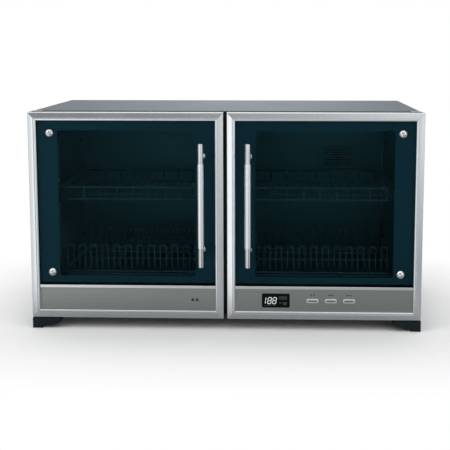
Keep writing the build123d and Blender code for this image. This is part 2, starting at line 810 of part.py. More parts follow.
keep(fan_rotor, "fan_rotor")

# ---------------------------------------------------------------- base compartment
# Power board on four pillars, with its transformer, relays, capacitor and terminals.
pan_floor_z = body_floor_z + sheet + fit_gap
power_board_y = body_back_y - power_board_from_back
board_top_z = pan_floor_z + pillar_height + board_thickness
with BuildPart() as power_board:
    block(
        (power_board_x - power_board_length / 2, power_board_x + power_board_length / 2),
        (power_board_y - power_board_width / 2, power_board_y + power_board_width / 2),
        (board_top_z - board_thickness, board_top_z),
    )
    pillar_middle_z = pan_floor_z + pillar_height / 2
    with Locations((power_board_x, power_board_y, pillar_middle_z)):
        with GridLocations(power_board_length - 12, power_board_width - 12, 2, 2):
            Cylinder(3.5, pillar_height)
    component_floor = (Align.CENTER, Align.CENTER, Align.MIN)
    with Locations((power_board_x - 42, power_board_y + 12, board_top_z)):
        Box(44, 38, 32, align=component_floor)
    with Locations((power_board_x + 10, power_board_y + 24, board_top_z)):
        with GridLocations(24, 0, 2, 1):
            Box(20, 16, 16, align=component_floor)
    with Locations((power_board_x + 55, power_board_y + 14, board_top_z)):
        Cylinder(9, 26, align=component_floor)
    with Locations((power_board_x + 10, power_board_y - 36, board_top_z)):
        with GridLocations(12, 0, 8, 1):
            Box(10, 12, 11, align=component_floor)
keep(power_board, "power_board")

# Cable gland: a flanged bush through the back panel, held by a nut inside.
with BuildPart() as cable_gland:
    gland_inner_y = back_panel_y - 16
    with BuildSketch(front_plane(back_panel_y + fit_gap / 2 + 2)):
        with Locations((gland_x, gland_z)):
            Circle(gland_flange_d / 2)
    extrude(amount=2)
    rod(
        (gland_x, back_panel_y + fit_gap / 2, gland_z),
        (gland_x, gland_inner_y, gland_z),
        gland_d,
    )
    with BuildSketch(front_plane(back_panel_y - sheet - fit_gap / 2)):
        with Locations((gland_x, gland_z)):
            RegularPolygon(gland_flange_d / 2, 6)
    extrude(amount=5)
    rod(
        (gland_x, back_panel_y + back_recess, gland_z),
        (gland_x, gland_inner_y - 1, gland_z),
        gland_bore,
        mode=Mode.SUBTRACT,
    )
keep(cable_gland, "cable_gland")

# ---------------------------------------------------------------- feet
foot_front_y = door_front_y + foot_front_inset
foot_back_y = body_front_y + foot_rear_reach
for name, side in sides:
    with BuildPart() as front_foot:
        outer = side * door_outer_x
        curved = name == "right"
        step = (outer - side * foot_pad_width, foot_pad_step)
        tip = (outer - side * foot_width, foot_height - (foot_toe if curved else foot_tip))
        middle = ((step[0] + tip[0]) / 2, (step[1] + tip[1]) / 2 - foot_toe_bow)
        with BuildSketch(front_plane(foot_back_y)):
            with BuildLine():
                Polyline(
                    tip,
                    (tip[0], foot_height),
                    (outer, foot_height),
                    (outer, 0),
                    (step[0], 0),
                    step,
                )
                if curved:
                    ThreePointArc(step, middle, tip)
                else:
                    Line(step, tip)
            wing = make_face()
            if not curved:
                fillet(wing.vertices().sort_by_distance(tip)[0], foot_tip_radius)
        extrude(amount=foot_back_y - foot_front_y)
        with Locations(*[(x, y, foot_height) for x, y in front_foot_screws if x * side > 0]):
            Hole(screw_hole_d / 2, depth=foot_screw_depth)
    keep(front_foot, f"front_{name}_foot")

with BuildPart() as rear_feet:
    with BuildSketch():
        with Locations(*rear_foot_screws):
            Circle(rear_foot_d / 2)
    extrude(amount=body_floor_z - fit_gap / 3)
    with Locations(*[(x, y, body_floor_z - fit_gap / 3) for x, y in rear_foot_screws]):
        Hole(screw_hole_d / 2, depth=foot_screw_depth)
keep(rear_feet, "rear_feet")

# ---------------------------------------------------------------- hinges
hinge_front_y = hinge_y - hinge_plate_width / 3
with BuildPart() as upper_hinges:
    for _, side in sides:
        block(
            (side * plate_outer_x, side * plate_inner_x),
            (hinge_front_y, body_front_y - fit_gap / 3),
            (body_top_z - hinge_sheet, body_top_z),
        )
        block(
            (side * plate_outer_x, side * plate_inner_x),
            (body_front_y - fit_gap / 3 - hinge_sheet, body_front_y - fit_gap / 3),
            (body_top_z - hinge_flange_height, body_top_z),
        )
        rod(
            (side * hinge_x, hinge_y, body_top_z - hinge_sheet),
            (side * hinge_x, hinge_y, body_top_z - hinge_sheet - hinge_pin_length),
            hinge_pin_d,
        )
    for x, z in flange_screws:
        rod((x, body_front_y - 3, z), (x, body_front_y + 1, z), screw_hole_d, mode=Mode.SUBTRACT)
keep(upper_hinges, "upper_hinges")

with BuildPart() as lower_hinges:
    for _, side in sides:
        block(
            (side * plate_outer_x, side * plate_inner_x),
            (hinge_front_y, body_front_y + hinge_tail),
            (foot_height, foot_height + hinge_sheet),
        )
        rod(
            (side * hinge_x, hinge_y, foot_height),
            (side * hinge_x, hinge_y, foot_height + hinge_sheet + hinge_pin_length),
            hinge_pin_d,
        )
    for x, y in front_foot_screws:
        rod((x, y, foot_height - 1), (x, y, body_floor_z + 1), screw_hole_d, mode=Mode.SUBTRACT)
keep(lower_hinges, "lower_hinges")

# Magnets on the front frame that hold the doors shut.
stile_mid_x = door_inner_x + frame_face / 2
magnet_z = (door_top_z + door_bottom_z) / 2
with BuildPart() as catch_magnets:
    magnet_front_y = door_back_y + keeper_sheet + fit_gap
    for _, side in sides:
        block(
            (side * (stile_mid_x - keeper_width / 2), side * (stile_mid_x + keeper_width / 2)),
            (magnet_front_y, body_front_y - fit_gap / 3),
            (magnet_z - keeper_height / 2, magnet_z + keeper_height / 2),
        )
    fillet(catch_magnets.edges().filter_by(Axis.Y), 2)
keep(catch_magnets, "catch_magnets")

# Pan-head screws: back panel, hinge flanges and feet.
with BuildPart() as case_screws:
    for x, z in back_screws:
        y = back_panel_y + fit_gap / 3
        rod((x, y, z), (x, y + screw_head_height, z), screw_head_d)
        rod((x, y, z), (x, y - screw_length, z), screw_d)
    for x, z in flange_screws:
        y = body_front_y - hinge_sheet - 2 * fit_gap / 3
        rod((x, y, z), (x, y - screw_head_height, z), screw_head_d)
        rod((x, y, z), (x, y + screw_length, z), screw_d)
    for x, y in front_foot_screws + rear_foot_screws:
        z = body_floor_z + sheet + fit_gap / 3
        rod((x, y, z), (x, y, z + screw_head_height), screw_head_d)
        rod((x, y, z), (x, y, z - 2 * screw_length), screw_d)
keep(case_screws, "case_screws")

# ---------------------------------------------------------------- doors
# Cross-section of the frame: u runs inward from the door's edge, v back from its front.
groove_front = glass_front - fit_gap / 2
groove_back = glass_front + glass_thickness + fit_gap / 2
brow_start = (0, brow_drop)
brow_middle = (brow_width / 2, brow_drop / 2 - brow_bow)
brow_crest = (brow_width, 0)
bead_start = (brow_width + bead_groove / 2, bead_groove)
bead_top = ((bead_start[0] + frame_face) / 2 - 0.3, bead_crown)
bead_end = (frame_face, bead_end_drop)
section_points = [
    bead_end,
    (frame_face, groove_front),
    (frame_face - glass_bite - fit_gap, groove_front),
    (frame_face - glass_bite - fit_gap, groove_back),
    (frame_face, groove_back),
    (frame_face, frame_depth),
    (0, frame_depth),
    brow_start,
]
cavity_front = groove_back + frame_wall
cavity_back = frame_depth - frame_wall
cavity_u = (frame_wall, frame_face - frame_wall)


def frame_profile(place):
    """Draw the frame's hollow cross-section, with place(u, v) giving sketch points."""
    with BuildLine() as outline:
        Polyline(*[place(u, v) for u, v in section_points])
        ThreePointArc(place(*brow_start), place(*brow_middle), place(*brow_crest))
        Line(place(*brow_crest), place(*bead_start))
        ThreePointArc(place(*bead_start), place(*bead_top), place(*bead_end))
    section = make_face(outline.edges())
    fillet(section.vertices().sort_by_distance(place(*brow_start))[0], frame_edge)
    corners = [(u, v) for u in cavity_u for v in (cavity_front, cavity_back)]
    near, far = place(*corners[0]), place(*corners[3])
    with Locations(((near[0] + far[0]) / 2, (near[1] + far[1]) / 2)):
        Rectangle(abs(far[0] - near[0]), abs(far[1] - near[1]), mode=Mode.SUBTRACT)


def frame_member(outline_points, plane, place, reach):
    """One mitred frame member: the profile run past both ends, cut to its outline."""
    with BuildPart() as member:
        with BuildSketch(plane):
            frame_profile(place)
        extrude(amount=reach)
        with BuildSketch(front_plane(door_back_y + 1)):
            with BuildLine():
                Polyline(*outline_points, close=True)
            make_face()
        extrude(amount=frame_depth + 2, mode=Mode.INTERSECT)
    return member.part


def door_frame(side):
    """The four mitred members of one door's frame."""
    out_x, in_x = side * door_outer_x, side * door_inner_x
    low_z, high_z = door_bottom_z, door_top_z
    cut = mitre_gap / 2
    rail_reach = door_outer_x - door_inner_x
    members = []
    for edge_z, inward in ((high_z, -1), (low_z, 1)):
        outline = [
            (out_x - side * cut, edge_z),
            (in_x + side * cut, edge_z),
            (in_x + side * (frame_face + cut), edge_z + inward * frame_face),
            (out_x - side * (frame_face + cut), edge_z + inward * frame_face),
        ]
        start = Plane.YZ.offset(min(out_x, in_x))
        members.append(
            frame_member(
                outline, start, lambda u, v: (door_front_y + v, edge_z + inward * u), rail_reach
            )
        )
    for edge_x, inward in ((out_x, -side), (in_x, side)):
        outline = [
            (edge_x, low_z + cut),
            (edge_x, high_z - cut),
            (edge_x + inward * frame_face, high_z - frame_face - cut),
            (edge_x + inward * frame_face, low_z + frame_face + cut),
        ]
        members.append(
            frame_member(
                outline,
                Plane.XY.offset(low_z),
                lambda u, v: (edge_x + inward * u, door_front_y + v),
                high_z - low_z,
            )
        )
    return members


handle_x = handle_inset
handle_y = door_front_y - handle_reach + handle_tube_d / 2
post_heights = [handle_centre_z - handle_post_pitch / 2, handle_centre_z + handle_post_pitch / 2]
stud_places = [
    (sight_outer_x - stud_inset, sight_top_z - stud_inset),
    (sight_outer_x - stud_inset, sight_bottom_z + stud_inset),
]
button_places = [button_first_x + i * button_pitch for i in range(button_count)]
lamp_places = [lamp_first_x - i * lamp_pitch for i in range(lamp_count)]
panel_back_y = glass_y + lower_panel_sheet
board_y = panel_back_y + 9.0
switch_height = 3.0

for name, side in sides:
    members = door_frame(side)
    with BuildPart() as frame:
        add(members)
        for z, up in ((door_top_z, 1), (door_bottom_z, -1)):
            rod(
                (side * hinge_x, hinge_y, z + up),
                (side * hinge_x, hinge_y, z - up * (frame_wall + 0.05)),
                hinge_pin_d + 2 * fit_gap,
                mode=Mode.SUBTRACT,
            )
    keep(frame, f"{name}_door_frame")

    # Tinted glass with holes for the studs and the handle posts.
    with BuildPart() as glass:
        trim_mid_z = panel_top_z + trim_height / 2
        glass_low_z = trim_mid_z + trim_web / 2 + fit_gap
        glass_high_z = sight_top_z + glass_bite
        with BuildSketch(front_plane(glass_back_y)):
            with Locations((side * door_mid_x, (glass_low_z + glass_high_z) / 2)):
                Rectangle(
                    sight_outer_x - sight_inner_x + 2 * glass_bite, glass_high_z - glass_low_z
                )
            with Locations(*[(side * x, z) for x, z in stud_places]):
                Circle(stud_spigot_d / 2 + fit_gap, mode=Mode.SUBTRACT)
            with Locations(*[(side * handle_x, z) for z in post_heights]):
                Circle(spigot_d / 2 + fit_gap, mode=Mode.SUBTRACT)
        extrude(amount=glass_thickness)
    keep(glass, f"{name}_door_glass")

    # Trim bar: a bright cap over the joint of glass and lower panel, with a web between them.
    with BuildPart() as trim_bar:
        cap_back_y = glass_y - fit_gap / 3
        block(
            (side * (sight_inner_x + fit_gap / 2), side * (sight_outer_x - fit_gap / 2)),
            (cap_back_y - trim_proud, cap_back_y),
            (panel_top_z, sight_bottom_z),
        )
        fillet(trim_bar.faces().sort_by(Axis.Y)[0].edges().filter_by(Axis.X), 0.8)
        block(
            (side * (sight_inner_x + fit_gap / 2), side * (sight_outer_x - fit_gap / 2)),
            (cap_back_y - 0.5, glass_back_y),
            (trim_mid_z - trim_web / 2, trim_mid_z + trim_web / 2),
        )
    keep(trim_bar, f"{name}_trim_bar")

    # Lower panel: brushed sheet, cut out for the controls on the right and lamps on the left.
    with BuildPart() as lower_panel:
        low_z = panel_bottom_z - glass_bite
        high_z = trim_mid_z - trim_web / 2 - fit_gap
        with BuildSketch(front_plane(panel_back_y)):
            with Locations((side * door_mid_x, (low_z + high_z) / 2)):
                Rectangle(sight_outer_x - sight_inner_x + 2 * glass_bite, high_z - low_z)
            if side > 0:
                with Locations((display_x, control_z)):
                    RectangleRounded(
                        display_width + fit_gap, display_height + fit_gap, 3, mode=Mode.SUBTRACT
                    )
                with Locations(*[(x, control_z) for x in button_places]):
                    RectangleRounded(
                        button_width + 2 * button_clear,
                        button_height + 2 * button_clear,
                        button_height / 3,
                        mode=Mode.SUBTRACT,
                    )
            else:
                with Locations(*[(side * x, control_z) for x in lamp_places]):
                    Circle(lamp_d / 2 + fit_gap / 2, mode=Mode.SUBTRACT)
        extrude(amount=lower_panel_sheet)
    keep(lower_panel, f"{name}_lower_panel")

    # Inner panel: black moulding that closes the door's back, with a tunnel through it.
    with BuildPart() as inner_panel:
        panel_half = (sight_outer_x - sight_inner_x) / 2 - fit_gap
        panel_low_z = panel_bottom_z + fit_gap
        panel_high_z = sight_top_z - fit_gap
        panel_mid_z = (panel_low_z + panel_high_z) / 2
        tunnel_height = chamber_height - 2 * inner_window_margin
        with BuildSketch(front_plane(door_back_y)):
            with Locations((side * door_mid_x, panel_mid_z)):
                Rectangle(2 * panel_half, panel_high_z - panel_low_z)
            with Locations((side * door_mid_x, chamber_mid_z)):
                RectangleRounded(inner_window_width, tunnel_height, 4, mode=Mode.SUBTRACT)
        extrude(amount=inner_panel_wall)
        with BuildSketch(front_plane(door_back_y)):
            with Locations((side * door_mid_x, panel_mid_z)):
                Rectangle(2 * panel_half, panel_high_z - panel_low_z)
                Rectangle(
                    2 * (panel_half - inner_panel_wall),
                    panel_high_z - panel_low_z - 2 * inner_panel_wall,
                    mode=Mode.SUBTRACT,
                )
        extrude(amount=door_back_y - inner_panel_y)
        with BuildSketch(front_plane(door_back_y)):
            with Locations((side * door_mid_x, chamber_mid_z)):
                RectangleRounded(
                    inner_window_width + 2 * inner_panel_wall, tunnel_height + 2 * inner_panel_wall, 6
                )
                RectangleRounded(inner_window_width, tunnel_height, 4, mode=Mode.SUBTRACT)
        extrude(amount=door_back_y - inner_panel_y)
        # room for the web of the trim bar and for the spigots through the glass
        block(
            (side * (sight_inner_x - 1), side * (sight_outer_x + 1)),
            (inner_panel_y - 1, glass_back_y + 2 * fit_gap),
            (trim_mid_z - trim_web, trim_mid_z + trim_web),
            mode=Mode.SUBTRACT,
        )
    keep(inner_panel, f"{name}_inner_panel")

    # Gasket: a soft ring that closes on the front frame round the chamber opening.
    with BuildPart() as gasket:
        with BuildSketch(front_plane(body_front_y - fit_gap)):
            with Locations((side * chamber_mid_x, chamber_mid_z)):
                RectangleRounded(
                    chamber_width + 2 * (gasket_clear + gasket_width),
                    chamber_height + 2 * (gasket_clear + gasket_width),
                    chamber_corner + gasket_clear + gasket_width,
                )
                RectangleRounded(
                    chamber_width + 2 * gasket_clear,
                    chamber_height + 2 * gasket_clear,
                    chamber_corner + gasket_clear,
                    mode=Mode.SUBTRACT,
                )
        extrude(amount=door_standoff - fit_gap - fit_gap / 3)
        fillet(gasket.faces().sort_by(Axis.Y)[-1].edges(), 2)
    keep(gasket, f"{name}_gasket")

    # Handle: satin tube between two polished cast ends, each with its post and rosette.
    tube_half = handle_length / 2 - handle_end_length
    tube_low_z = handle_centre_z - tube_half
    tube_high_z = handle_centre_z + tube_half
    with BuildPart() as handle_tube:
        rod(
            (side * handle_x, handle_y, tube_low_z),
            (side * handle_x, handle_y, tube_high_z),
            handle_tube_d,
        )
        rod(
            (side * handle_x, handle_y, tube_low_z - 1),
            (side * handle_x, handle_y, tube_high_z + 1),
            handle_tube_d - 2 * handle_tube_wall,
            mode=Mode.SUBTRACT,
        )
    keep(handle_tube, f"{name}_handle_tube")

    with BuildPart() as handle_ends:
        for end, joint_z, post_z in ((-1, tube_low_z, post_heights[0]), (1, tube_high_z, post_heights[1])):
            tip_z = joint_z + end * handle_end_length
            root_z = joint_z + end * fit_gap / 3
            plug_d = handle_tube_d - 2 * handle_tube_wall - fit_gap
            rod((side * handle_x, handle_y, root_z), (side * handle_x, handle_y, tip_z), handle_end_d)
            rod(
                (side * handle_x, handle_y, root_z),
                (side * handle_x, handle_y, joint_z - end * handle_end_d),
                plug_d,
            )
            rod(
                (side * handle_x, handle_y, post_z),
                (side * handle_x, glass_y - fit_gap / 3, post_z),
                handle_post_d,
            )
            rod(
                (side * handle_x, glass_y - fit_gap / 3, post_z),
                (side * handle_x, glass_y - fit_gap / 3 - rosette_height, post_z),
                rosette_d,
            )
            rod(
                (side * handle_x, glass_y - 1, post_z),
                (side * handle_x, glass_back_y + 3, post_z),
                spigot_d,
            )
        tips = handle_ends.faces().filter_by(Axis.Z)
        fillet([tips.sort_by(Axis.Z)[0].edges(), tips.sort_by(Axis.Z)[-1].edges()], 1.5)
    keep(handle_ends, f"{name}_handle_ends")

    # Chrome studs: domed caps that pinch the glass.
    with BuildPart() as studs:
        for x, z in stud_places:
            base_y = glass_y - fit_gap / 3
            rim_y = base_y - stud_rim
            top_y = base_y - stud_height
            middle_x, rim_x = side * x, side * x + stud_d / 2
            # The cap's curve is a circle through both edges of the rim and the top.
            rise = stud_height - stud_rim
            ball = (stud_d**2 / 4 + rise**2) / (2 * rise)
            half_arc = asin(stud_d / 2 / ball) / 2
            bend = (middle_x + ball * sin(half_arc), top_y + ball * (1 - cos(half_arc)))
            with BuildSketch(Plane.XY.offset(z)) as half_cap:
                with BuildLine() as edge:
                    Line((middle_x, base_y), (rim_x, base_y))
                    Line((rim_x, base_y), (rim_x, rim_y))
                    ThreePointArc((rim_x, rim_y), bend, (middle_x, top_y))
                    Line((middle_x, top_y), (middle_x, base_y))
                make_face()
            revolve(half_cap.sketch, axis=Axis((middle_x, 0, z), (0, 1, 0)))
            rod((middle_x, base_y, z), (middle_x, glass_back_y + 2, z), stud_spigot_d)
    keep(studs, f"{name}_glass_studs")

    # Corner blocks inside the frame, each bored as the bush of a hinge pin.
    with BuildPart() as hinge_blocks:
        clear = hinge_block_clear
        for z, up in ((door_top_z, 1), (door_bottom_z, -1)):
            block(
                (
                    side * (door_outer_x - cavity_u[0] - clear),
                    side * (door_outer_x - cavity_u[1] + clear),
                ),
                (door_front_y + cavity_front + clear, door_front_y + cavity_back - clear),
                (z - up * (cavity_u[0] + clear), z - up * (cavity_u[1] - clear)),
            )
            rod(
                (side * hinge_x, hinge_y, z),
                (side * hinge_x, hinge_y, z - up * frame_face),
                hinge_pin_d + 2 * hinge_running,
                mode=Mode.SUBTRACT,
            )
    keep(hinge_blocks, f"{name}_hinge_blocks")

    # Steel keeper on the back of the free stile, opposite the magnet.
    with BuildPart() as keeper:
        block(
            (side * (stile_mid_x - keeper_width / 2), side * (stile_mid_x + keeper_width / 2)),
            (door_back_y + fit_gap / 3, door_back_y + keeper_sheet),
            (magnet_z - keeper_height / 2, magnet_z + keeper_height / 2),
        )
        fillet(keeper.edges().filter_by(Axis.Y), 2)
    keep(keeper, f"{name}_door_keeper")

# ---------------------------------------------------------------- controls on the doors
with BuildPart() as indicator_lamps:
    for x in lamp_places:
        rod((-x, glass_y - lamp_proud, control_z), (-x, panel_back_y + 2, control_z), lamp_d)
        rod((-x, panel_back_y + fit_gap / 3, control_z), (-x, panel_back_y + 2, control_z), lamp_d + 2)
    lamp_tips = indicator_lamps.faces().filter_by(Axis.Y).group_by(Axis.Y)[0]
    fillet(lamp_tips.edges(), lamp_proud - 0.1)
keep(indicator_lamps, "indicator_lamps")

with BuildPart() as display_window:
    with BuildSketch(front_plane(panel_back_y + fit_gap / 3)):
        with Locations((display_x, control_z)):
            RectangleRounded(display_width, display_height, 3)
    extrude(amount=lower_panel_sheet + fit_gap / 3 + display_proud)
    fillet(display_window.faces().sort_by(Axis.Y)[0].edges(), display_proud - 0.1)
    with BuildSketch(front_plane(panel_back_y + fit_gap / 3 + 1.2)):
        with Locations((display_x, control_z)):
            Rectangle(display_width + 2 * display_flange, display_height + 2 * display_flange)
    extrude(amount=1.2)
keep(display_window, "display_window")

# Control board behind the buttons, with one switch for each and the display module.
board_low_x = display_x - display_width / 2 - board_end
board_high_x = button_places[-1] + board_end
with BuildPart() as display_board:
    block(
        (board_low_x, board_high_x),
        (board_y, board_y + board_thickness),
        (control_z - board_height / 2, control_z + board_height / 2),
    )
    block(
        (display_x - display_width / 2, display_x + display_width / 2),
        (panel_back_y + fit_gap / 3 + 1.2 + fit_gap, board_y),
        (control_z - display_height / 2, control_z + display_height / 2),
    )
    for x in button_places:
        block((x - 3, x + 3), (board_y - switch_height, board_y), (control_z - 3, control_z + 3))
    # standoffs on the inner panel behind the board
    for x in (board_low_x + 6, board_high_x - 6):
        for z in (control_z - board_height / 2 + 5, control_z + board_height / 2 - 5):
            rod((x, board_y, z), (x, door_back_y - inner_panel_wall - fit_gap / 3, z), 5)
keep(display_board, "display_board")

# Push buttons: rounded caps in the panel, each with a flange and a stem behind it.
for number, x in enumerate(button_places, start=1):
    with BuildPart() as button:
        flange_y = panel_back_y + fit_gap / 3
        with BuildSketch(front_plane(flange_y)):
            with Locations((x, control_z)):
                RectangleRounded(button_width, button_height, button_height / 3)
        extrude(amount=lower_panel_sheet + fit_gap / 3 + button_proud)
        fillet(button.faces().sort_by(Axis.Y)[0].edges(), 0.8)
        with BuildSketch(front_plane(flange_y + 1)):
            with Locations((x, control_z)):
                RectangleRounded(
                    button_width + 2 * button_flange, button_height + 2 * button_flange, 2
                )
        extrude(amount=1)
        stem_end_y = board_y - switch_height - button_travel - fit_gap
        rod((x, flange_y, control_z), (x, stem_end_y, control_z), button_stem)
    keep(button, f"button_{number}")
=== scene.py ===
import bmesh
import bpy
import math
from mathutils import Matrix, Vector


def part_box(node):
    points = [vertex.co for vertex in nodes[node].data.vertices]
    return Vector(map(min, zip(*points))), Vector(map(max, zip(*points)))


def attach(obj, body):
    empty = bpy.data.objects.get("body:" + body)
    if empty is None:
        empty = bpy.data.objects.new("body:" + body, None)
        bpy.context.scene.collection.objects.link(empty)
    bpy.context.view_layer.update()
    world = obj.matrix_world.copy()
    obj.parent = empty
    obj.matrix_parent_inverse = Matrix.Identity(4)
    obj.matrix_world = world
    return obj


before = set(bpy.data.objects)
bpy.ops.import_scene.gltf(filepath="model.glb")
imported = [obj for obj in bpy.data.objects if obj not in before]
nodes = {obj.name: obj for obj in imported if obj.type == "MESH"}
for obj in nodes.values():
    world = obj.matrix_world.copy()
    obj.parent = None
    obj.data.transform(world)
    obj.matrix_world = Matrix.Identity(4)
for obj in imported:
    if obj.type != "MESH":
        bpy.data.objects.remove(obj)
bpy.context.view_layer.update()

# ================================================================ outer wrap
# The top and both sides are one sheet of brushed stainless steel, bent over the body.
# The grain runs along the sheet: left to right on top and up and down on the sides.


def join(tree, source, target):
    """Link a socket to its source, or set its value where the source is a plain one."""
    if isinstance(source, bpy.types.NodeSocket):
        tree.links.new(source, target)
    else:
        target.default_value = source


def add_node(tree, kind, inputs=None, **settings):
    """Add a node, with its inputs by name or number."""
    node = tree.nodes.new(kind)
    for key, value in settings.items():
        setattr(node, key, value)
    for key, value in (inputs or {}).items():
        join(tree, value, node.inputs[key])
    return node


def new_group(name, inputs, outputs):
    """A shader node group with named sockets: (name, kind, default) and (name, kind)."""
    tree = bpy.data.node_groups.new(name, "ShaderNodeTree")
    for label, kind, default in inputs:
        socket = tree.interface.new_socket(label, in_out="INPUT", socket_type=kind)
        socket.default_value = default
    for label, kind in outputs:
        tree.interface.new_socket(label, in_out="OUTPUT", socket_type=kind)
    entry = tree.nodes.new("NodeGroupInput")
    leave = tree.nodes.new("NodeGroupOutput")
    return tree, entry.outputs, leave.inputs


def use_group(tree, group, **inputs):
    """Place a node group in a material, with its own values; _ in a name stands for a space."""
    node = tree.nodes.new("ShaderNodeGroup")
    node.node_tree = group
    for key, value in inputs.items():
        join(tree, value, node.inputs[key.replace("_", " ")])
    return node.outputs


def new_material(name, **principled):
    """A material with a Principled shader; keyword names follow its sockets."""
    material = bpy.data.materials.new(name)
    material.use_nodes = True
    shader = material.node_tree.nodes["Principled BSDF"]
    for key, value in principled.items():
        shader.inputs[key.replace("_", " ")].default_value = value
    return material, material.node_tree, shader.inputs


def on_piece(tree):
    """Where a point of the surface lies, in metres, as the cabinet stands at rest."""
    return add_node(tree, "ShaderNodeTexCoord").outputs["Object"]


def cloud(tree, scale, place=None, **more):
    """Cloudy noise from 0 to 1; a larger scale makes finer clouds."""
    if place is None:
        place = on_piece(tree)
    return add_node(tree, "ShaderNodeTexNoise", {"Vector": place, "Scale": scale, **more}).outputs["Fac"]


def relief(tree, height, strength, distance):
    """A bump of that height, for a Normal socket."""
    inputs = {"Strength": strength, "Distance": distance, "Height": height}
    return add_node(tree, "ShaderNodeBump", inputs).outputs[0]


def maths(tree, operation, first, second=0.0):
    """One Math node; its operands are values or sockets."""
    return add_node(tree, "ShaderNodeMath", {0: first, 1: second}, operation=operation).outputs[0]


def vector_maths(tree, operation, first, second=(0.0, 0.0, 0.0)):
    """The outputs of one Vector Math node; its operands are values or sockets."""
    return add_node(tree, "ShaderNodeVectorMath", {0: first, 1: second}, operation=operation).outputs


def remap(tree, value, low, high, to_low=0.0, to_high=1.0):
    """Map a value from one range to another, clamped."""
    sockets = {"Value": value, "From Min": low, "From Max": high, "To Min": to_low, "To Max": to_high}
    return add_node(tree, "ShaderNodeMapRange", sockets).outputs["Result"]


def blend_colours(tree, factor, first, second):
    """From the first colour at factor 0 to the second at 1."""
    node = add_node(tree, "ShaderNodeMix", data_type="RGBA")
    for index, value in ((0, factor), (6, first), (7, second)):
        join(tree, value, node.inputs[index])
    return node.outputs[2]


def dress(material, *names):
    """Give CAD nodes a material in every slot."""
    for name in names:
        mesh = nodes[name].data
        mesh.materials.clear()
        mesh.materials.append(material)


# Brushed grain: long fine streaks, with broader bands of slightly different tone.
fine_share, broad_share, offset = 0.7, 0.3, 0.15
band_stretch = (0.25, 0.25, 0.25)  # of the fine streaks' own
brushed_grain, given, result = new_group(
    "brushed_grain",
    [("Stretch", "NodeSocketVector", (4, 900, 4)), ("Depth", "NodeSocketFloat", 0.2)],
    [("Streaks", "NodeSocketFloat"), ("Bands", "NodeSocketFloat"), ("Normal", "NodeSocketVector")],
)
fine_place = vector_maths(brushed_grain, "MULTIPLY", on_piece(brushed_grain), given["Stretch"])["Vector"]
broad_place = vector_maths(brushed_grain, "MULTIPLY", fine_place, band_stretch)["Vector"]
fine = cloud(brushed_grain, 1.0, fine_place, Detail=4.0)
broad = cloud(brushed_grain, 1.0, broad_place, Detail=2.0)
streaks = maths(brushed_grain, "ADD", maths(brushed_grain, "MULTIPLY", fine, fine_share), offset)
streaks = maths(brushed_grain, "ADD", streaks, maths(brushed_grain, "MULTIPLY", broad, broad_share))
join(brushed_grain, streaks, result["Streaks"])
join(brushed_grain, broad, result["Bands"])
join(brushed_grain, relief(brushed_grain, streaks, given["Depth"], 0.0002), result["Normal"])

# Handling marks: faint cloudy smudges that change the gloss.
handling_marks, given, result = new_group(
    "handling_marks",
    [("Size", "NodeSocketFloat", 6.0)],
    [("Smudge", "NodeSocketFloat")],
)
smudges = cloud(handling_marks, given["Size"], Detail=5.0, Roughness=0.6, Distortion=0.4)
join(handling_marks, remap(handling_marks, smudges, 0.42, 0.68), result["Smudge"])


def brushed_metal(name, light, dark, roughness, stretch, depth=0.2, edge=(1, 1, 1)):
    """Brushed sheet: streaks between two tones, duller where it has been handled."""
    material, tree, sockets = new_material(name, Metallic=1.0, Specular_Tint=(*edge, 1))
    grain = use_group(tree, brushed_grain, Stretch=stretch, Depth=depth)
    marks = use_group(tree, handling_marks, Size=5.0)
    tone = remap(tree, grain["Streaks"], 0.3, 0.72)
    join(tree, blend_colours(tree, tone, (*dark, 1), (*light, 1)), sockets["Base Color"])
    rough = remap(tree, grain["Bands"], 0.3, 0.7, roughness - 0.05, roughness + 0.05)
    rough = maths(tree, "ADD", rough, maths(tree, "MULTIPLY", marks["Smudge"], 0.06))
    join(tree, rough, sockets["Roughness"])
    join(tree, grain["Normal"], sockets["Normal"])
    return material


wrap_steel = brushed_metal(
    "brushed_stainless_wrap",
    light=(0.375, 0.395, 0.425),
    dark=(0.31, 0.33, 0.355),
    roughness=0.3,
    stretch=(3, 1100, 3),
    edge=(0.47, 0.5, 0.55),
)
dress(wrap_steel, "outer_wrap")

# ================================================================ base pan, back panel, hinges
# Galvanised sheet steel, folded and punched. The zinc has crystallised into pale
# and dark flakes, and the pressed hinge plates and screws carry the same coating.
zinc, tree, sockets = new_material("galvanised_sheet", Metallic=1.0)
flakes = add_node(tree, "ShaderNodeTexVoronoi", {"Vector": on_piece(tree), "Scale": 90.0, "Randomness": 1.0})
flake_tone = add_node(tree, "ShaderNodeSeparateColor", {"Color": flakes.outputs["Color"]}).outputs["Red"]
marks = use_group(tree, handling_marks, Size=4.0)
tone = blend_colours(tree, flake_tone, (0.36, 0.38, 0.40, 1), (0.56, 0.58, 0.60, 1))
join(tree, blend_colours(tree, marks["Smudge"], tone, (0.42, 0.43, 0.43, 1)), sockets["Base Color"])
join(tree, remap(tree, flake_tone, 0.0, 1.0, 0.34, 0.52), sockets["Roughness"])
dress(zinc, "base_pan", "back_panel", "upper_hinges", "lower_hinges", "case_screws")

# ================================================================ front frame
# Pressed steel plate with a black baked enamel, slightly orange-peeled, seen round
# the chamber mouths and as a dark line between the doors. The catch magnets in it
# have the same finish.


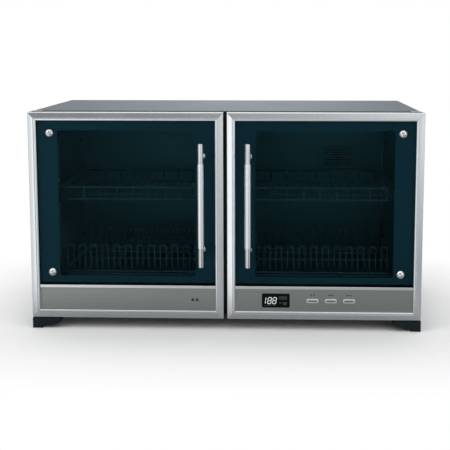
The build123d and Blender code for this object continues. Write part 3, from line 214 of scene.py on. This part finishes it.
def handled_finish(name, clean, touched, gloss, size, peel=0.0, **principled):
    """A plain finish, of another tone and roughness where it has been handled.

    gloss is its roughness where clean and where touched, and peel the strength of an
    orange-peel bump.
    """
    material, tree, sockets = new_material(name, **principled)
    marks = use_group(tree, handling_marks, Size=size)
    join(tree, blend_colours(tree, marks["Smudge"], (*clean, 1), (*touched, 1)), sockets["Base Color"])
    join(tree, remap(tree, marks["Smudge"], 0.0, 1.0, *gloss), sockets["Roughness"])
    if peel:
        join(tree, relief(tree, cloud(tree, 420.0, Detail=2.0), peel, 0.0002), sockets["Normal"])
    return material


enamel = handled_finish(
    "black_baked_enamel",
    clean=(0.003, 0.005, 0.006),
    touched=(0.008, 0.011, 0.012),
    gloss=(0.28, 0.42),
    size=9.0,
    peel=0.25,
    Specular_IOR_Level=0.15,
)
dress(enamel, "front_frame", "catch_magnets")

# ================================================================ chamber liners
# Two deep-drawn boxes of stainless steel that hang behind the front frame, with a
# fine matt grain from side to side.
liner_steel = brushed_metal(
    "brushed_liner", (0.42, 0.44, 0.45), (0.32, 0.34, 0.35), 0.42, stretch=(5, 5, 700), depth=0.15
)
dress(liner_steel, "left_liner", "right_liner")

# ================================================================ insulation
# A blanket of pressed mineral wool, wrapped round the liners inside the case: pale,
# matt and fibrous.
wool, tree, sockets = new_material("mineral_wool", Roughness=0.95)
fibres = cloud(tree, 160.0, Detail=8.0, Distortion=1.5)
tufts = cloud(tree, 24.0, Detail=3.0)
mixed = maths(tree, "MULTIPLY", fibres, tufts)
tone = remap(tree, mixed, 0.12, 0.42)
join(tree, blend_colours(tree, tone, (0.42, 0.36, 0.22, 1), (0.78, 0.73, 0.58, 1)), sockets["Base Color"])
join(tree, relief(tree, mixed, 0.8, 0.002), sockets["Normal"])
dress(wool, "insulation_blanket")

# ================================================================ ladders and wire racks
# Steel wire, bent and spot-welded, then chrome plated. The plating is a little duller
# in clouds, where dishes and hands have rubbed it.
wire = handled_finish(
    "chromed_wire",
    clean=(0.50, 0.50, 0.50),
    touched=(0.38, 0.38, 0.38),
    gloss=(0.12, 0.3),
    size=30.0,
    Metallic=1.0,
)
dress(wire, "left_ladders", "right_ladders", "left_upper_basket", "right_upper_basket")
dress(wire, "left_plate_rack", "right_plate_rack")

# ================================================================ heater
# Two tubes of milky quartz glass with a wound filament inside, closed by cream
# ceramic caps that sit in the cheeks of a guard of chromed wire. The temperature
# probe beside it is plated like the guard.
cap_length = 0.0142
filament_turns = 2600.0  # radians for each metre of tube
quartz, tree, sockets = new_material("milky_quartz", IOR=1.46)
across = add_node(tree, "ShaderNodeSeparateXYZ", {0: on_piece(tree)}).outputs["X"]
tube_low, tube_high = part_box("heater_tubes")
tube_middle = (tube_low[0] + tube_high[0]) / 2
cap_start = (tube_high[0] - tube_low[0]) / 2 - cap_length
from_middle = maths(tree, "ABSOLUTE", maths(tree, "SUBTRACT", across, tube_middle))
is_cap = maths(tree, "GREATER_THAN", from_middle, cap_start)
turns = maths(tree, "SINE", maths(tree, "MULTIPLY", across, filament_turns))
filament = remap(tree, turns, 0.2, 0.9, 0.0, 0.55)
tube_tone = blend_colours(tree, filament, (0.74, 0.72, 0.68, 1), (0.38, 0.34, 0.30, 1))
marks = use_group(tree, handling_marks, Size=60.0)
cap_tone = blend_colours(tree, marks["Smudge"], (0.72, 0.68, 0.58, 1), (0.6, 0.56, 0.47, 1))
join(tree, blend_colours(tree, is_cap, tube_tone, cap_tone), sockets["Base Color"])
join(tree, remap(tree, is_cap, 0.0, 1.0, 0.15, 0.6), sockets["Roughness"])
dress(quartz, "heater_tubes")
dress(wire, "heater_guard", "temperature_probe")

# ================================================================ ozone outlet, grille and fan
# Moulded plastic with a fine spark-eroded texture: mid grey for the ozone outlet's
# cover and the generator behind it, pale for the fan's louvred grille, and black for
# the fan's housing and rotor and for the cable gland.
moulded_grain, given, result = new_group(
    "moulded_grain",
    [("Size", "NodeSocketFloat", 900.0), ("Depth", "NodeSocketFloat", 0.3)],
    [("Grain", "NodeSocketFloat"), ("Normal", "NodeSocketVector")],
)
pits = cloud(moulded_grain, given["Size"], Detail=3.0)
join(moulded_grain, pits, result["Grain"])
join(moulded_grain, relief(moulded_grain, pits, given["Depth"], 0.0003), result["Normal"])


def moulded_plastic(name, tone, worn, roughness, size=900.0, depth=0.3, gloss=0.5):
    """Textured moulding: a base tone, paler where it is rubbed."""
    material, tree, sockets = new_material(name, Specular_IOR_Level=gloss)
    grain = use_group(tree, moulded_grain, Size=size, Depth=depth)
    marks = use_group(tree, handling_marks, Size=14.0)
    shade = maths(tree, "MULTIPLY", grain["Grain"], maths(tree, "ADD", marks["Smudge"], 0.35))
    join(tree, blend_colours(tree, shade, (*tone, 1), (*worn, 1)), sockets["Base Color"])
    join(tree, remap(tree, marks["Smudge"], 0.0, 1.0, roughness, roughness + 0.14), sockets["Roughness"])
    join(tree, grain["Normal"], sockets["Normal"])
    return material


grey_plastic = moulded_plastic("grey_moulding", (0.42, 0.43, 0.44), (0.52, 0.53, 0.54), 0.5, gloss=0.2)
pale_plastic = moulded_plastic("pale_moulding", (0.72, 0.74, 0.75), (0.8, 0.82, 0.83), 0.5, gloss=0.2)
black_plastic = moulded_plastic("black_moulding", (0.007, 0.010, 0.012), (0.03, 0.036, 0.04), 0.42)
dress(grey_plastic, "ozone_cover", "ozone_generator")
dress(pale_plastic, "fan_grille")
dress(black_plastic, "fan_housing", "fan_rotor", "cable_gland")

# ================================================================ circuit boards
# Green solder mask over copper tracks: the power board in the base, with dark
# components standing on it, and the small board behind the display.
component_start = 0.0099  # above the pillars' feet, just clear of the power board's mask
board, tree, sockets = new_material("solder_mask")
place = on_piece(tree)
tracks = add_node(
    tree, "ShaderNodeTexBrick", {"Vector": place, "Scale": 160.0, "Mortar Size": 0.03, "Bias": -0.4}
).outputs["Fac"]
track_tone = blend_colours(tree, tracks, (0.012, 0.075, 0.03, 1), (0.03, 0.16, 0.07, 1))
height = add_node(tree, "ShaderNodeSeparateXYZ", {0: place}).outputs["Z"]
above_mask = maths(tree, "GREATER_THAN", height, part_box("power_board")[0][2] + component_start)
below_display = maths(tree, "LESS_THAN", height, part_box("display_board")[0][2])
component = maths(tree, "MULTIPLY", above_mask, below_display)
join(tree, blend_colours(tree, component, track_tone, (0.02, 0.022, 0.025, 1)), sockets["Base Color"])
join(tree, remap(tree, tracks, 0.0, 1.0, 0.3, 0.45), sockets["Roughness"])
dress(board, "power_board", "display_board")

# ================================================================ feet
# Black plastic mouldings screwed under the corners. The front ones reach out under
# the doors and taper into a wing; the rear ones are round pads.
foot_plastic = moulded_plastic(
    "foot_moulding", (0.005, 0.012, 0.017), (0.016, 0.028, 0.036), 0.36, size=700.0, gloss=0.2
)
dress(foot_plastic, "front_left_foot", "front_right_foot", "rear_feet")

# ================================================================ door frames
# Four lengths of satin anodised aluminium section, cut at 45 degrees. The grain of
# the drawn section runs along each length, so it turns at the mitres.
mitre_half_width = 0.00018  # half the dark line at a mitre


def from_nearer_edge(tree, place, low, high):
    """How far inside the nearer of two edges a place lies."""
    return maths(tree, "MINIMUM", maths(tree, "SUBTRACT", place, low), maths(tree, "SUBTRACT", high, place))


aluminium, tree, sockets = new_material("satin_anodised_aluminium", Metallic=0.88)
frame_low, frame_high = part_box("right_door_frame")
split = add_node(tree, "ShaderNodeSeparateXYZ", {0: on_piece(tree)}).outputs
from_side = from_nearer_edge(tree, maths(tree, "ABSOLUTE", split["X"]), frame_low[0], frame_high[0])
from_end = from_nearer_edge(tree, split["Z"], frame_low[2], frame_high[2])
is_stile = maths(tree, "LESS_THAN", from_side, from_end)
along_rail = use_group(tree, brushed_grain, Stretch=(5, 1400, 1400), Depth=0.05)
along_stile = use_group(tree, brushed_grain, Stretch=(1400, 1400, 5), Depth=0.05)
streak_choice = {0: is_stile, 2: along_rail["Streaks"], 3: along_stile["Streaks"]}
grain = add_node(tree, "ShaderNodeMix", streak_choice, data_type="FLOAT").outputs[0]
from_mitre = maths(tree, "ABSOLUTE", maths(tree, "SUBTRACT", from_side, from_end))
in_joint = maths(tree, "LESS_THAN", from_mitre, mitre_half_width)
tone = remap(tree, grain, 0.3, 0.72)
tone = blend_colours(tree, tone, (0.67, 0.705, 0.73, 1), (0.73, 0.765, 0.79, 1))
join(tree, blend_colours(tree, in_joint, tone, (0.2, 0.21, 0.22, 1)), sockets["Base Color"])
marks = use_group(tree, handling_marks, Size=7.0)
join(tree, remap(tree, marks["Smudge"], 0.0, 1.0, 0.20, 0.25), sockets["Roughness"])
dress(aluminium, "left_door_frame", "right_door_frame")

# ================================================================ trim bars
# A strip of bright-dipped aluminium in each door frame, which covers the joint of the
# glass and the lower panel.
bright_trim, tree, sockets = new_material("bright_dipped_aluminium", Metallic=1.0)
grain = use_group(tree, brushed_grain, Stretch=(3, 1200, 1200), Depth=0.04)
tone = blend_colours(tree, grain["Streaks"], (0.58, 0.60, 0.61, 1), (0.70, 0.72, 0.73, 1))
join(tree, tone, sockets["Base Color"])
join(tree, remap(tree, grain["Bands"], 0.3, 0.7, 0.2, 0.28), sockets["Roughness"])
dress(bright_trim, "left_trim_bar", "right_trim_bar")

# ================================================================ lower door panels
# Brushed stainless sheet, set into the door frame below the glass, with the grain
# from side to side.
panel_steel = brushed_metal(
    "brushed_lower_panel", (0.30, 0.33, 0.318), (0.25, 0.275, 0.263), 0.36, stretch=(3, 3, 1100), depth=0.25
)
dress(panel_steel, "left_lower_panel", "right_lower_panel")

# ================================================================ door glass
# Dark tinted toughened glass, 4 mm thick. Its clear window lies inside a border that
# is screen-printed on its back in a slate ink, which the tint turns blue-black.
tinted, tree, sockets = new_material(
    "tinted_glass", Transmission_Weight=1.0, IOR=1.13, Specular_Tint=(0.4, 0.85, 1.0, 1)
)
haze = cloud(tree, 3.0, Detail=2.0)
join(tree, blend_colours(tree, haze, (0.13, 0.275, 0.305, 1), (0.15, 0.30, 0.33, 1)), sockets["Base Color"])
marks = use_group(tree, handling_marks, Size=6.0)
join(tree, remap(tree, marks["Smudge"], 0.0, 1.0, 0.0, 0.02), sockets["Roughness"])
dress(tinted, "left_door_glass", "right_door_glass")

print_ink, tree, sockets = new_material("screen_print")
mesh_marks = cloud(tree, 1500.0, Detail=1.0)
tone = blend_colours(tree, mesh_marks, (0.24, 0.31, 0.39, 1), (0.29, 0.36, 0.44, 1))
join(tree, tone, sockets["Base Color"])
join(tree, remap(tree, mesh_marks, 0.0, 1.0, 0.45, 0.6), sockets["Roughness"])


def rounded_rectangle(low_x, high_x, low_z, high_z, radius, steps=6):
    """Corner points of a rounded rectangle, anticlockwise from the lower right."""
    points = []
    corners = (
        (high_x - radius, low_z + radius, -90),
        (high_x - radius, high_z - radius, 0),
        (low_x + radius, high_z - radius, 90),
        (low_x + radius, low_z + radius, 180),
    )
    for x, z, start in corners:
        for step in range(steps + 1):
            angle = math.radians(start + 90 * step / steps)
            points.append((x + radius * math.cos(angle), z + radius * math.sin(angle)))
    return points


def make_piece(name, built, material):
    """Turn a built mesh into a piece of one material."""
    mesh = bpy.data.meshes.new(name)
    built.to_mesh(mesh)
    built.free()
    mesh.materials.append(material)
    piece = bpy.data.objects.new(name, mesh)
    bpy.context.scene.collection.objects.link(piece)
    return piece


def plate_between(name, material, outline, front_y, back_y, hole=None):
    """A flat plate from an outline in X and Z, with an optional hole of as many points."""
    built = bmesh.new()

    def ring(edge, y):
        return [built.verts.new((x, y, z)) for x, z in edge]

    front_out, back_out = ring(outline, front_y), ring(outline, back_y)
    if hole:
        front_in, back_in = ring(hole, front_y), ring(hole, back_y)
    else:
        built.faces.new(front_out)
        built.faces.new(list(reversed(back_out)))
    for i in range(len(outline)):
        j = (i + 1) % len(outline)
        built.faces.new((front_out[j], front_out[i], back_out[i], back_out[j]))
        if hole:
            built.faces.new((front_out[i], front_out[j], front_in[j], front_in[i]))
            built.faces.new((back_out[j], back_out[i], back_in[i], back_in[j]))
            built.faces.new((front_in[i], front_in[j], back_in[j], back_in[i]))
    bmesh.ops.recalc_face_normals(built, faces=built.faces)
    return make_piece(name, built, material)


window_width, window_height, window_corner = 0.281, 0.301, 0.0015
window_drop = 0.021  # from the top of the glass in sight
sight_drop = 0.0165  # from the door's top to the glass in sight
ink_edge, ink_corner = 0.0065, 0.0005  # the ink stops just clear of the frame's groove
ink_off, ink_thickness = 0.00005, 0.0001  # the ink lies just off the glass's back
for name in ("left", "right"):
    glass_low, glass_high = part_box(f"{name}_door_glass")
    low_x, high_x = glass_low[0] + ink_edge, glass_high[0] - ink_edge
    low_z, high_z = glass_low[2] + ink_edge, glass_high[2] - ink_edge
    outline = rounded_rectangle(low_x, high_x, low_z, high_z, ink_corner)
    middle_x = (glass_low[0] + glass_high[0]) / 2
    low_x, high_x = middle_x - window_width / 2, middle_x + window_width / 2
    high_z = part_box(f"{name}_door_frame")[1][2] - sight_drop - window_drop
    hole = rounded_rectangle(low_x, high_x, high_z - window_height, high_z, window_corner)
    front_y = glass_high[1] + ink_off
    ink = plate_between(f"{name}_glass_print", print_ink, outline, front_y, front_y + ink_thickness, hole)
    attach(ink, f"{name}_door")

# ================================================================ inner panels and gaskets
# Each door's back is a black moulding with a gasket of soft charcoal rubber pressed
# into it, which closes on the front frame. Grey hinge blocks carry the door on its
# pins, and a galvanised keeper meets the catch magnet.
rubber = moulded_plastic("gasket_rubber", (0.018, 0.019, 0.02), (0.05, 0.052, 0.055), 0.62, size=1300.0)
dress(black_plastic, "left_inner_panel", "right_inner_panel")
dress(rubber, "left_gasket", "right_gasket")
dress(grey_plastic, "left_hinge_blocks", "right_hinge_blocks")
dress(zinc, "left_door_keeper", "right_door_keeper")

# ================================================================ handles and glass studs
# A satin-brushed steel tube between two cast and polished ends, each with its own
# post and rosette on the glass. The domed studs in the glass's corners are polished
# and chromed like the ends.
tube_steel = brushed_metal(
    "satin_tube", (0.85, 0.88, 0.905), (0.74, 0.765, 0.785), 0.25, stretch=(1500, 1500, 6), depth=0.12
)
dress(tube_steel, "left_handle_tube", "right_handle_tube")
polished = handled_finish(
    "polished_chrome",
    clean=(0.66, 0.68, 0.70),
    touched=(0.58, 0.60, 0.62),
    gloss=(0.03, 0.1),
    size=40.0,
    Metallic=1.0,
)
dress(polished, "left_handle_ends", "right_handle_ends", "left_glass_studs", "right_glass_studs")

# ================================================================ indicator lamps
# Two small dark lenses of clear-coated plastic, pressed into the left lower panel.
# They are unlit.
lens, tree, sockets = new_material("dark_lens", Coat_Weight=1.0, Coat_Roughness=0.05, Roughness=0.2)
marks = use_group(tree, handling_marks, Size=120.0)
tone = blend_colours(tree, marks["Smudge"], (0.006, 0.008, 0.008, 1), (0.014, 0.016, 0.016, 1))
join(tree, tone, sockets["Base Color"])
dress(lens, "indicator_lamps")

# ================================================================ display
# Black glossy window with three lit figures, faint unlit marks in two rows beside
# them and a row of unlit dashes below. All are plain bars, as on any clock.
display_gloss = handled_finish(
    "display_window",
    clean=(0.001, 0.0035, 0.003),
    touched=(0.002, 0.006, 0.005),
    gloss=(0.16, 0.28),
    size=25.0,
    Specular_IOR_Level=0.12,
)
dress(display_gloss, "display_window")

lit_bar, tree, sockets = new_material("lit_figure", Base_Color=(0.5, 0.55, 0.5, 1), Emission_Strength=0.75)
glow = blend_colours(tree, cloud(tree, 500.0), (0.62, 0.70, 0.62, 1), (0.86, 0.92, 0.86, 1))
join(tree, glow, sockets["Emission Color"])


def faint_finish(name, dark, pale, scale, roughness):
    """One tone, faintly mottled, for unlit marks and fine print."""
    material, tree, sockets = new_material(name, Roughness=roughness)
    tone = blend_colours(tree, cloud(tree, scale), (*dark, 1), (*pale, 1))
    join(tree, tone, sockets["Base Color"])
    return material


unlit_bar = faint_finish("unlit_mark", (0.06, 0.09, 0.08), (0.10, 0.14, 0.13), 400.0, 0.4)


def add_bar(built, middle, length, width, thickness, upright=False, lean=0.0):
    """One bar with pointed ends, as six corners in X and Z, with its front at Y = 0."""
    x, z = middle
    half, tip = length / 2, width / 2
    flank = half - tip
    shape = [(-half, 0), (-flank, -tip), (flank, -tip), (half, 0), (flank, tip), (-flank, tip)]
    if upright:
        shape = [(-b, a) for a, b in shape]
    points = [(x + a + lean * (b + z), z + b) for a, b in shape]
    front = [built.verts.new((a, 0.0, b)) for a, b in points]
    back = [built.verts.new((a, thickness, b)) for a, b in points]
    built.faces.new(front)
    built.faces.new(list(reversed(back)))
    for i in range(6):
        j = (i + 1) % 6
        built.faces.new((front[j], front[i], back[i], back[j]))


def add_figure(built, middle, size, stroke, thickness, bars="abcdefg", lean=0.0):
    """One figure of up to seven bars, a to g from the top round to the middle."""
    (x, z), (width, height) = middle, size
    half, quarter = width / 2, height / 4
    bar_share = 0.88  # how much of its side each bar fills
    layout = {
        "a": (0, 2 * quarter, False), "g": (0, 0, False), "d": (0, -2 * quarter, False),
        "f": (-half, quarter, True), "b": (half, quarter, True),
        "e": (-half, -quarter, True), "c": (half, -quarter, True),
    }
    for bar in bars:
        across, up, upright = layout[bar]
        length = (2 * quarter if upright else width) * bar_share
        add_bar(built, (x + across, z + up), length, stroke, thickness, upright, lean)


def finish_bars(name, built, material, body, shift):
    """Turn the gathered bars into one piece that rides on a body."""
    bmesh.ops.recalc_face_normals(built, faces=built.faces)
    bmesh.ops.translate(built, verts=built.verts, vec=shift)
    piece = make_piece(name, built, material)
    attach(piece, body)


bar_thickness, bar_proud = 0.00012, 0.00016  # proud of the window's face
window_low, window_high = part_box("display_window")
on_window = (Vector(window_low) + Vector(window_high)) / 2
on_window.y = window_low[1] - bar_proud
figure_size, figure_stroke, figure_lean = (0.0068, 0.0132), 0.00125, 0.13
figures = bmesh.new()
for x, bars in ((-0.0243, "bc"), (-0.0128, "abcdefg"), (-0.0027, "abcdefg")):
    add_figure(figures, (x, 0.0), figure_size, figure_stroke, bar_thickness, bars, figure_lean)
finish_bars("display_figures", figures, lit_bar, "right_door", on_window)

mark_start, mark_pitch, mark_width = 0.0078, 0.0043, 0.0028
faint_marks = bmesh.new()
for column in range(4):
    middle = (mark_start + column * mark_pitch, 0.0058)
    add_figure(faint_marks, middle, (mark_width, 0.0062), 0.0007, bar_thickness)
for column in (2, 3):
    middle = (mark_start + column * mark_pitch, -0.006)
    add_figure(faint_marks, middle, (mark_width, 0.0054), 0.0009, bar_thickness)
add_bar(faint_marks, (0.0095, -0.0045), 0.0062, 0.0011, bar_thickness)
for column in range(9):
    add_bar(faint_marks, (-0.0225 + column * 0.0026, -0.0103), 0.0018, 0.0009, bar_thickness)
finish_bars("display_marks", faint_marks, unlit_bar, "right_door", on_window)

# ================================================================ push buttons
# Three slim caps in silver-plated plastic. Each has a bright rim round a satin
# centre with small dark marks, and two dark marks are printed above it.
cap_silver = handled_finish(
    "plated_cap",
    clean=(0.90, 0.93, 0.91),
    touched=(0.80, 0.83, 0.81),
    gloss=(0.2, 0.3),
    size=80.0,
    Metallic=0.35,
)
dress(cap_silver, "button_1", "button_2", "button_3")
cap_centre = brushed_metal("cap_centre", (0.42, 0.44, 0.43), (0.34, 0.36, 0.35), 0.4, stretch=(3, 3, 1500))
dark_ink = faint_finish("dark_ink", (0.012, 0.014, 0.014), (0.03, 0.034, 0.034), 900.0, 0.5)

centre_width, centre_height, centre_corner = 0.0208, 0.0052, 0.0014
centre_proud, centre_sunk = 0.00012, 0.00005  # before and behind the cap's face
mark_thickness = 0.0001
cap_mark_pitch, cap_mark_width, cap_mark_height = 0.0030, 0.0027, 0.0022
label_rise, label_proud = 0.0123, 0.00012  # above the cap's middle, before the panel's face
panel_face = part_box("right_lower_panel")[0][1]
for number, body in enumerate(("first_button", "second_button", "third_button"), start=1):
    cap_low, cap_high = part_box(f"button_{number}")
    cap_face = cap_low[1]
    middle_x = (cap_low[0] + cap_high[0]) / 2
    middle_z = (cap_low[2] + cap_high[2]) / 2
    low_x, high_x = middle_x - centre_width / 2, middle_x + centre_width / 2
    low_z, high_z = middle_z - centre_height / 2, middle_z + centre_height / 2
    outline = rounded_rectangle(low_x, high_x, low_z, high_z, centre_corner)
    centre = plate_between(
        f"button_centre_{number}", cap_centre, outline, cap_face - centre_proud, cap_face + centre_sunk
    )
    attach(centre, body)
    cap_marks = bmesh.new()
    for column in range(-2, 3):
        add_bar(cap_marks, (column * cap_mark_pitch, 0.0), cap_mark_width, cap_mark_height, mark_thickness)
    on_cap = Vector((middle_x, cap_face - 2 * centre_proud, middle_z))
    finish_bars(f"button_marks_{number}", cap_marks, dark_ink, body, on_cap)
    label_marks = bmesh.new()
    for offset in (-0.0029, 0.0033):
        add_bar(label_marks, (offset, 0.0), 0.0044, 0.0028, mark_thickness)
    on_panel = Vector((middle_x, panel_face - label_proud, middle_z + label_rise))
    finish_bars(f"panel_marks_{number}", label_marks, dark_ink, "right_door", on_panel)

# ================================================================ floor
# A plain pale floor, a hair below the feet. It keeps the cabinet's shadow close to
# the cabinet and fades into a white ground farther out.
floor_radius, floor_corners, floor_z = 1.5, 64, -0.0002
footprint = (0.4, 0.2, 0.0)  # half the cabinet's width and depth
shadow_reach = (0.02, 0.3)  # from the footprint, where the white begins and is full
white_behind = (0.2, 0.5)  # behind the cabinet's middle, the same for mirrored ground


def white_ground(tree, behind):
    """Where the white ground shows: to the camera, and in metal and glass behind the cabinet."""
    rays = add_node(tree, "ShaderNodeLightPath").outputs
    mirrored = maths(tree, "MAXIMUM", rays["Is Glossy Ray"], rays["Is Transmission Ray"])
    mirrored = maths(tree, "MULTIPLY", mirrored, behind)
    return maths(tree, "MAXIMUM", rays["Is Camera Ray"], mirrored)


ground, tree, sockets = new_material("pale_floor", Roughness=0.9, Specular_IOR_Level=0.0)
place = on_piece(tree)
aside = vector_maths(tree, "ABSOLUTE", place)["Vector"]
past = vector_maths(tree, "SUBTRACT", aside, footprint)["Vector"]
past = vector_maths(tree, "MAXIMUM", past)["Vector"]
reach = vector_maths(tree, "LENGTH", past)["Value"]
rearward = add_node(tree, "ShaderNodeSeparateXYZ", {0: place}).outputs["Y"]
shows_white = white_ground(tree, remap(tree, rearward, *white_behind))
tone = blend_colours(tree, shows_white, (0.38, 0.38, 0.38, 1), (0.95, 0.95, 0.95, 1))
join(tree, tone, sockets["Base Color"])
white = add_node(tree, "ShaderNodeEmission", {"Color": (1, 1, 1, 1), "Strength": 1.0}).outputs[0]
clear = add_node(tree, "ShaderNodeBsdfTransparent").outputs[0]
beyond = add_node(tree, "ShaderNodeMixShader", {0: shows_white, 1: clear, 2: white}).outputs[0]
near = tree.nodes["Principled BSDF"].outputs[0]
far_fade = remap(tree, reach, *shadow_reach)
cover = add_node(tree, "ShaderNodeMixShader", {0: far_fade, 1: near, 2: beyond}).outputs[0]
join(tree, cover, tree.nodes["Material Output"].inputs["Surface"])

built = bmesh.new()
corners = []
for step in range(floor_corners):
    angle = 2 * math.pi * step / floor_corners
    corners.append(built.verts.new((floor_radius * math.cos(angle), floor_radius * math.sin(angle), floor_z)))
built.faces.new(corners)
floor = make_piece("floor", built, ground)

# ================================================================ light and ground
# Three soft panels and a pale room: white where the camera looks, and otherwise lighter
# at the sides than straight ahead, as between the screens of a small studio.
world = bpy.data.worlds.new("studio")
bpy.context.scene.world = world
world.use_nodes = True
tree = world.node_tree
towards = add_node(tree, "ShaderNodeTexCoord").outputs["Generated"]
split = add_node(tree, "ShaderNodeSeparateXYZ", {0: towards}).outputs
bearing = maths(tree, "ARCTAN2", split["X"], maths(tree, "MULTIPLY", split["Y"], -1.0))


def tone_round(stops):
    """Grey tones by bearing in degrees, 0 straight in front of the doors and 90 to the right."""
    ramp = add_node(tree, "ShaderNodeValToRGB", {"Fac": remap(tree, bearing, -math.pi, math.pi)})
    points = ramp.color_ramp.elements
    for index, (degrees, tone) in enumerate(stops):
        at_end = index in (0, len(stops) - 1)
        point = points[index] if at_end else points.new((degrees + 180) / 360)
        point.color = (tone, tone, tone, 1)
    return ramp.outputs["Color"]


low = tone_round([
    (-180, 0.12), (-165, 0.2), (-148, 0.35), (-100, 0.5), (-60, 0.65), (-40, 0.8), (-24, 1.4), (-15, 1.25),
    (-9, 0.75), (-4, 0.55), (1, 0.5), (8, 0.46), (24, 0.26), (42, 0.2), (54, 0.4), (80, 0.7), (156, 0.35),
    (171, 0.2), (180, 0.12),
])
level = tone_round([
    (-180, 0.12), (-165, 0.2), (-148, 0.35), (-100, 0.5), (-60, 0.65), (-40, 0.95), (-24, 1.6), (-15, 1.35),
    (-9, 0.85), (-4, 0.72), (2, 0.72), (8, 0.78), (18, 0.8), (27, 1.0), (40, 1.15), (54, 1.0), (70, 0.7),
    (156, 0.35), (171, 0.2), (180, 0.12),
])
raised = tone_round([
    (-180, 1.05), (-176, 1.1), (-165, 0.6), (-148, 0.35), (-100, 0.5), (-45, 0.35), (-18, 0.12), (-6, 0.22),
    (1, 0.36), (6, 0.66), (12, 1.05), (24, 0.9), (45, 0.5), (110, 0.6), (156, 0.35), (171, 0.6), (180, 1.05),
])
overhead = (0.7, 0.7, 0.7, 1)
# Between which heights each tone gives way to the next, as sines of the angle above level.
level_starts, raised_starts, overhead_starts = (-0.26, -0.1), (-0.03, 0.1), (0.35, 0.8)
straight_behind = (0.992, 0.999)  # cosines of the angle from straight behind the cabinet
room = blend_colours(tree, remap(tree, split["Z"], *level_starts), low, level)
room = blend_colours(tree, remap(tree, split["Z"], *raised_starts), room, raised)
room = blend_colours(tree, remap(tree, split["Z"], *overhead_starts), room, overhead)
shows_white = white_ground(tree, remap(tree, split["Y"], *straight_behind))
background = tree.nodes["Background"]
join(tree, blend_colours(tree, shows_white, room, (1, 1, 1, 1)), background.inputs["Color"])
background.inputs["Strength"].default_value = 1.0


def soft_panel(name, place, aim, width, height, power):
    """A rectangular soft light aimed at a point."""
    data = bpy.data.lights.new(name, "AREA")
    data.shape = "RECTANGLE"
    data.size, data.size_y = width, height
    data.energy = power
    lamp = bpy.data.objects.new(name, data)
    lamp.location = place
    lamp.rotation_euler = (Vector(aim) - Vector(place)).to_track_quat("-Z", "Y").to_euler()
    bpy.context.scene.collection.objects.link(lamp)


soft_panel("left_panel", (-1.9, -1.5, 1.4), (-0.1, -0.1, 0.25), width=1.0, height=1.4, power=10)
soft_panel("right_panel", (2.0, -1.5, 1.1), (0.1, -0.1, 0.25), width=0.5, height=1.2, power=3.5)
soft_panel("top_panel", (0.0, -0.2, 2.3), (0.0, -0.1, 0.3), width=3.4, height=3.0, power=24)

# ================================================================ camera
# It stands a little right of the cabinet's middle and above its top, about 1.7 m in
# front of the doors, and looks slightly down through a long lens.
look_down, turn_left = 6.58, 1.89  # degrees
lens_data = bpy.data.cameras.new("camera")
lens_data.lens = 69.7
lens_data.shift_x = -0.05
lens_data.shift_y = -0.18
camera = bpy.data.objects.new("camera", lens_data)
camera.location = (0.1028, -1.8978, 0.5861)
camera.rotation_euler = (math.radians(90 - look_down), 0.0, math.radians(turn_left))
bpy.context.scene.collection.objects.link(camera)
bpy.context.scene.camera = camera
bpy.context.scene.view_settings.view_transform = "Standard"
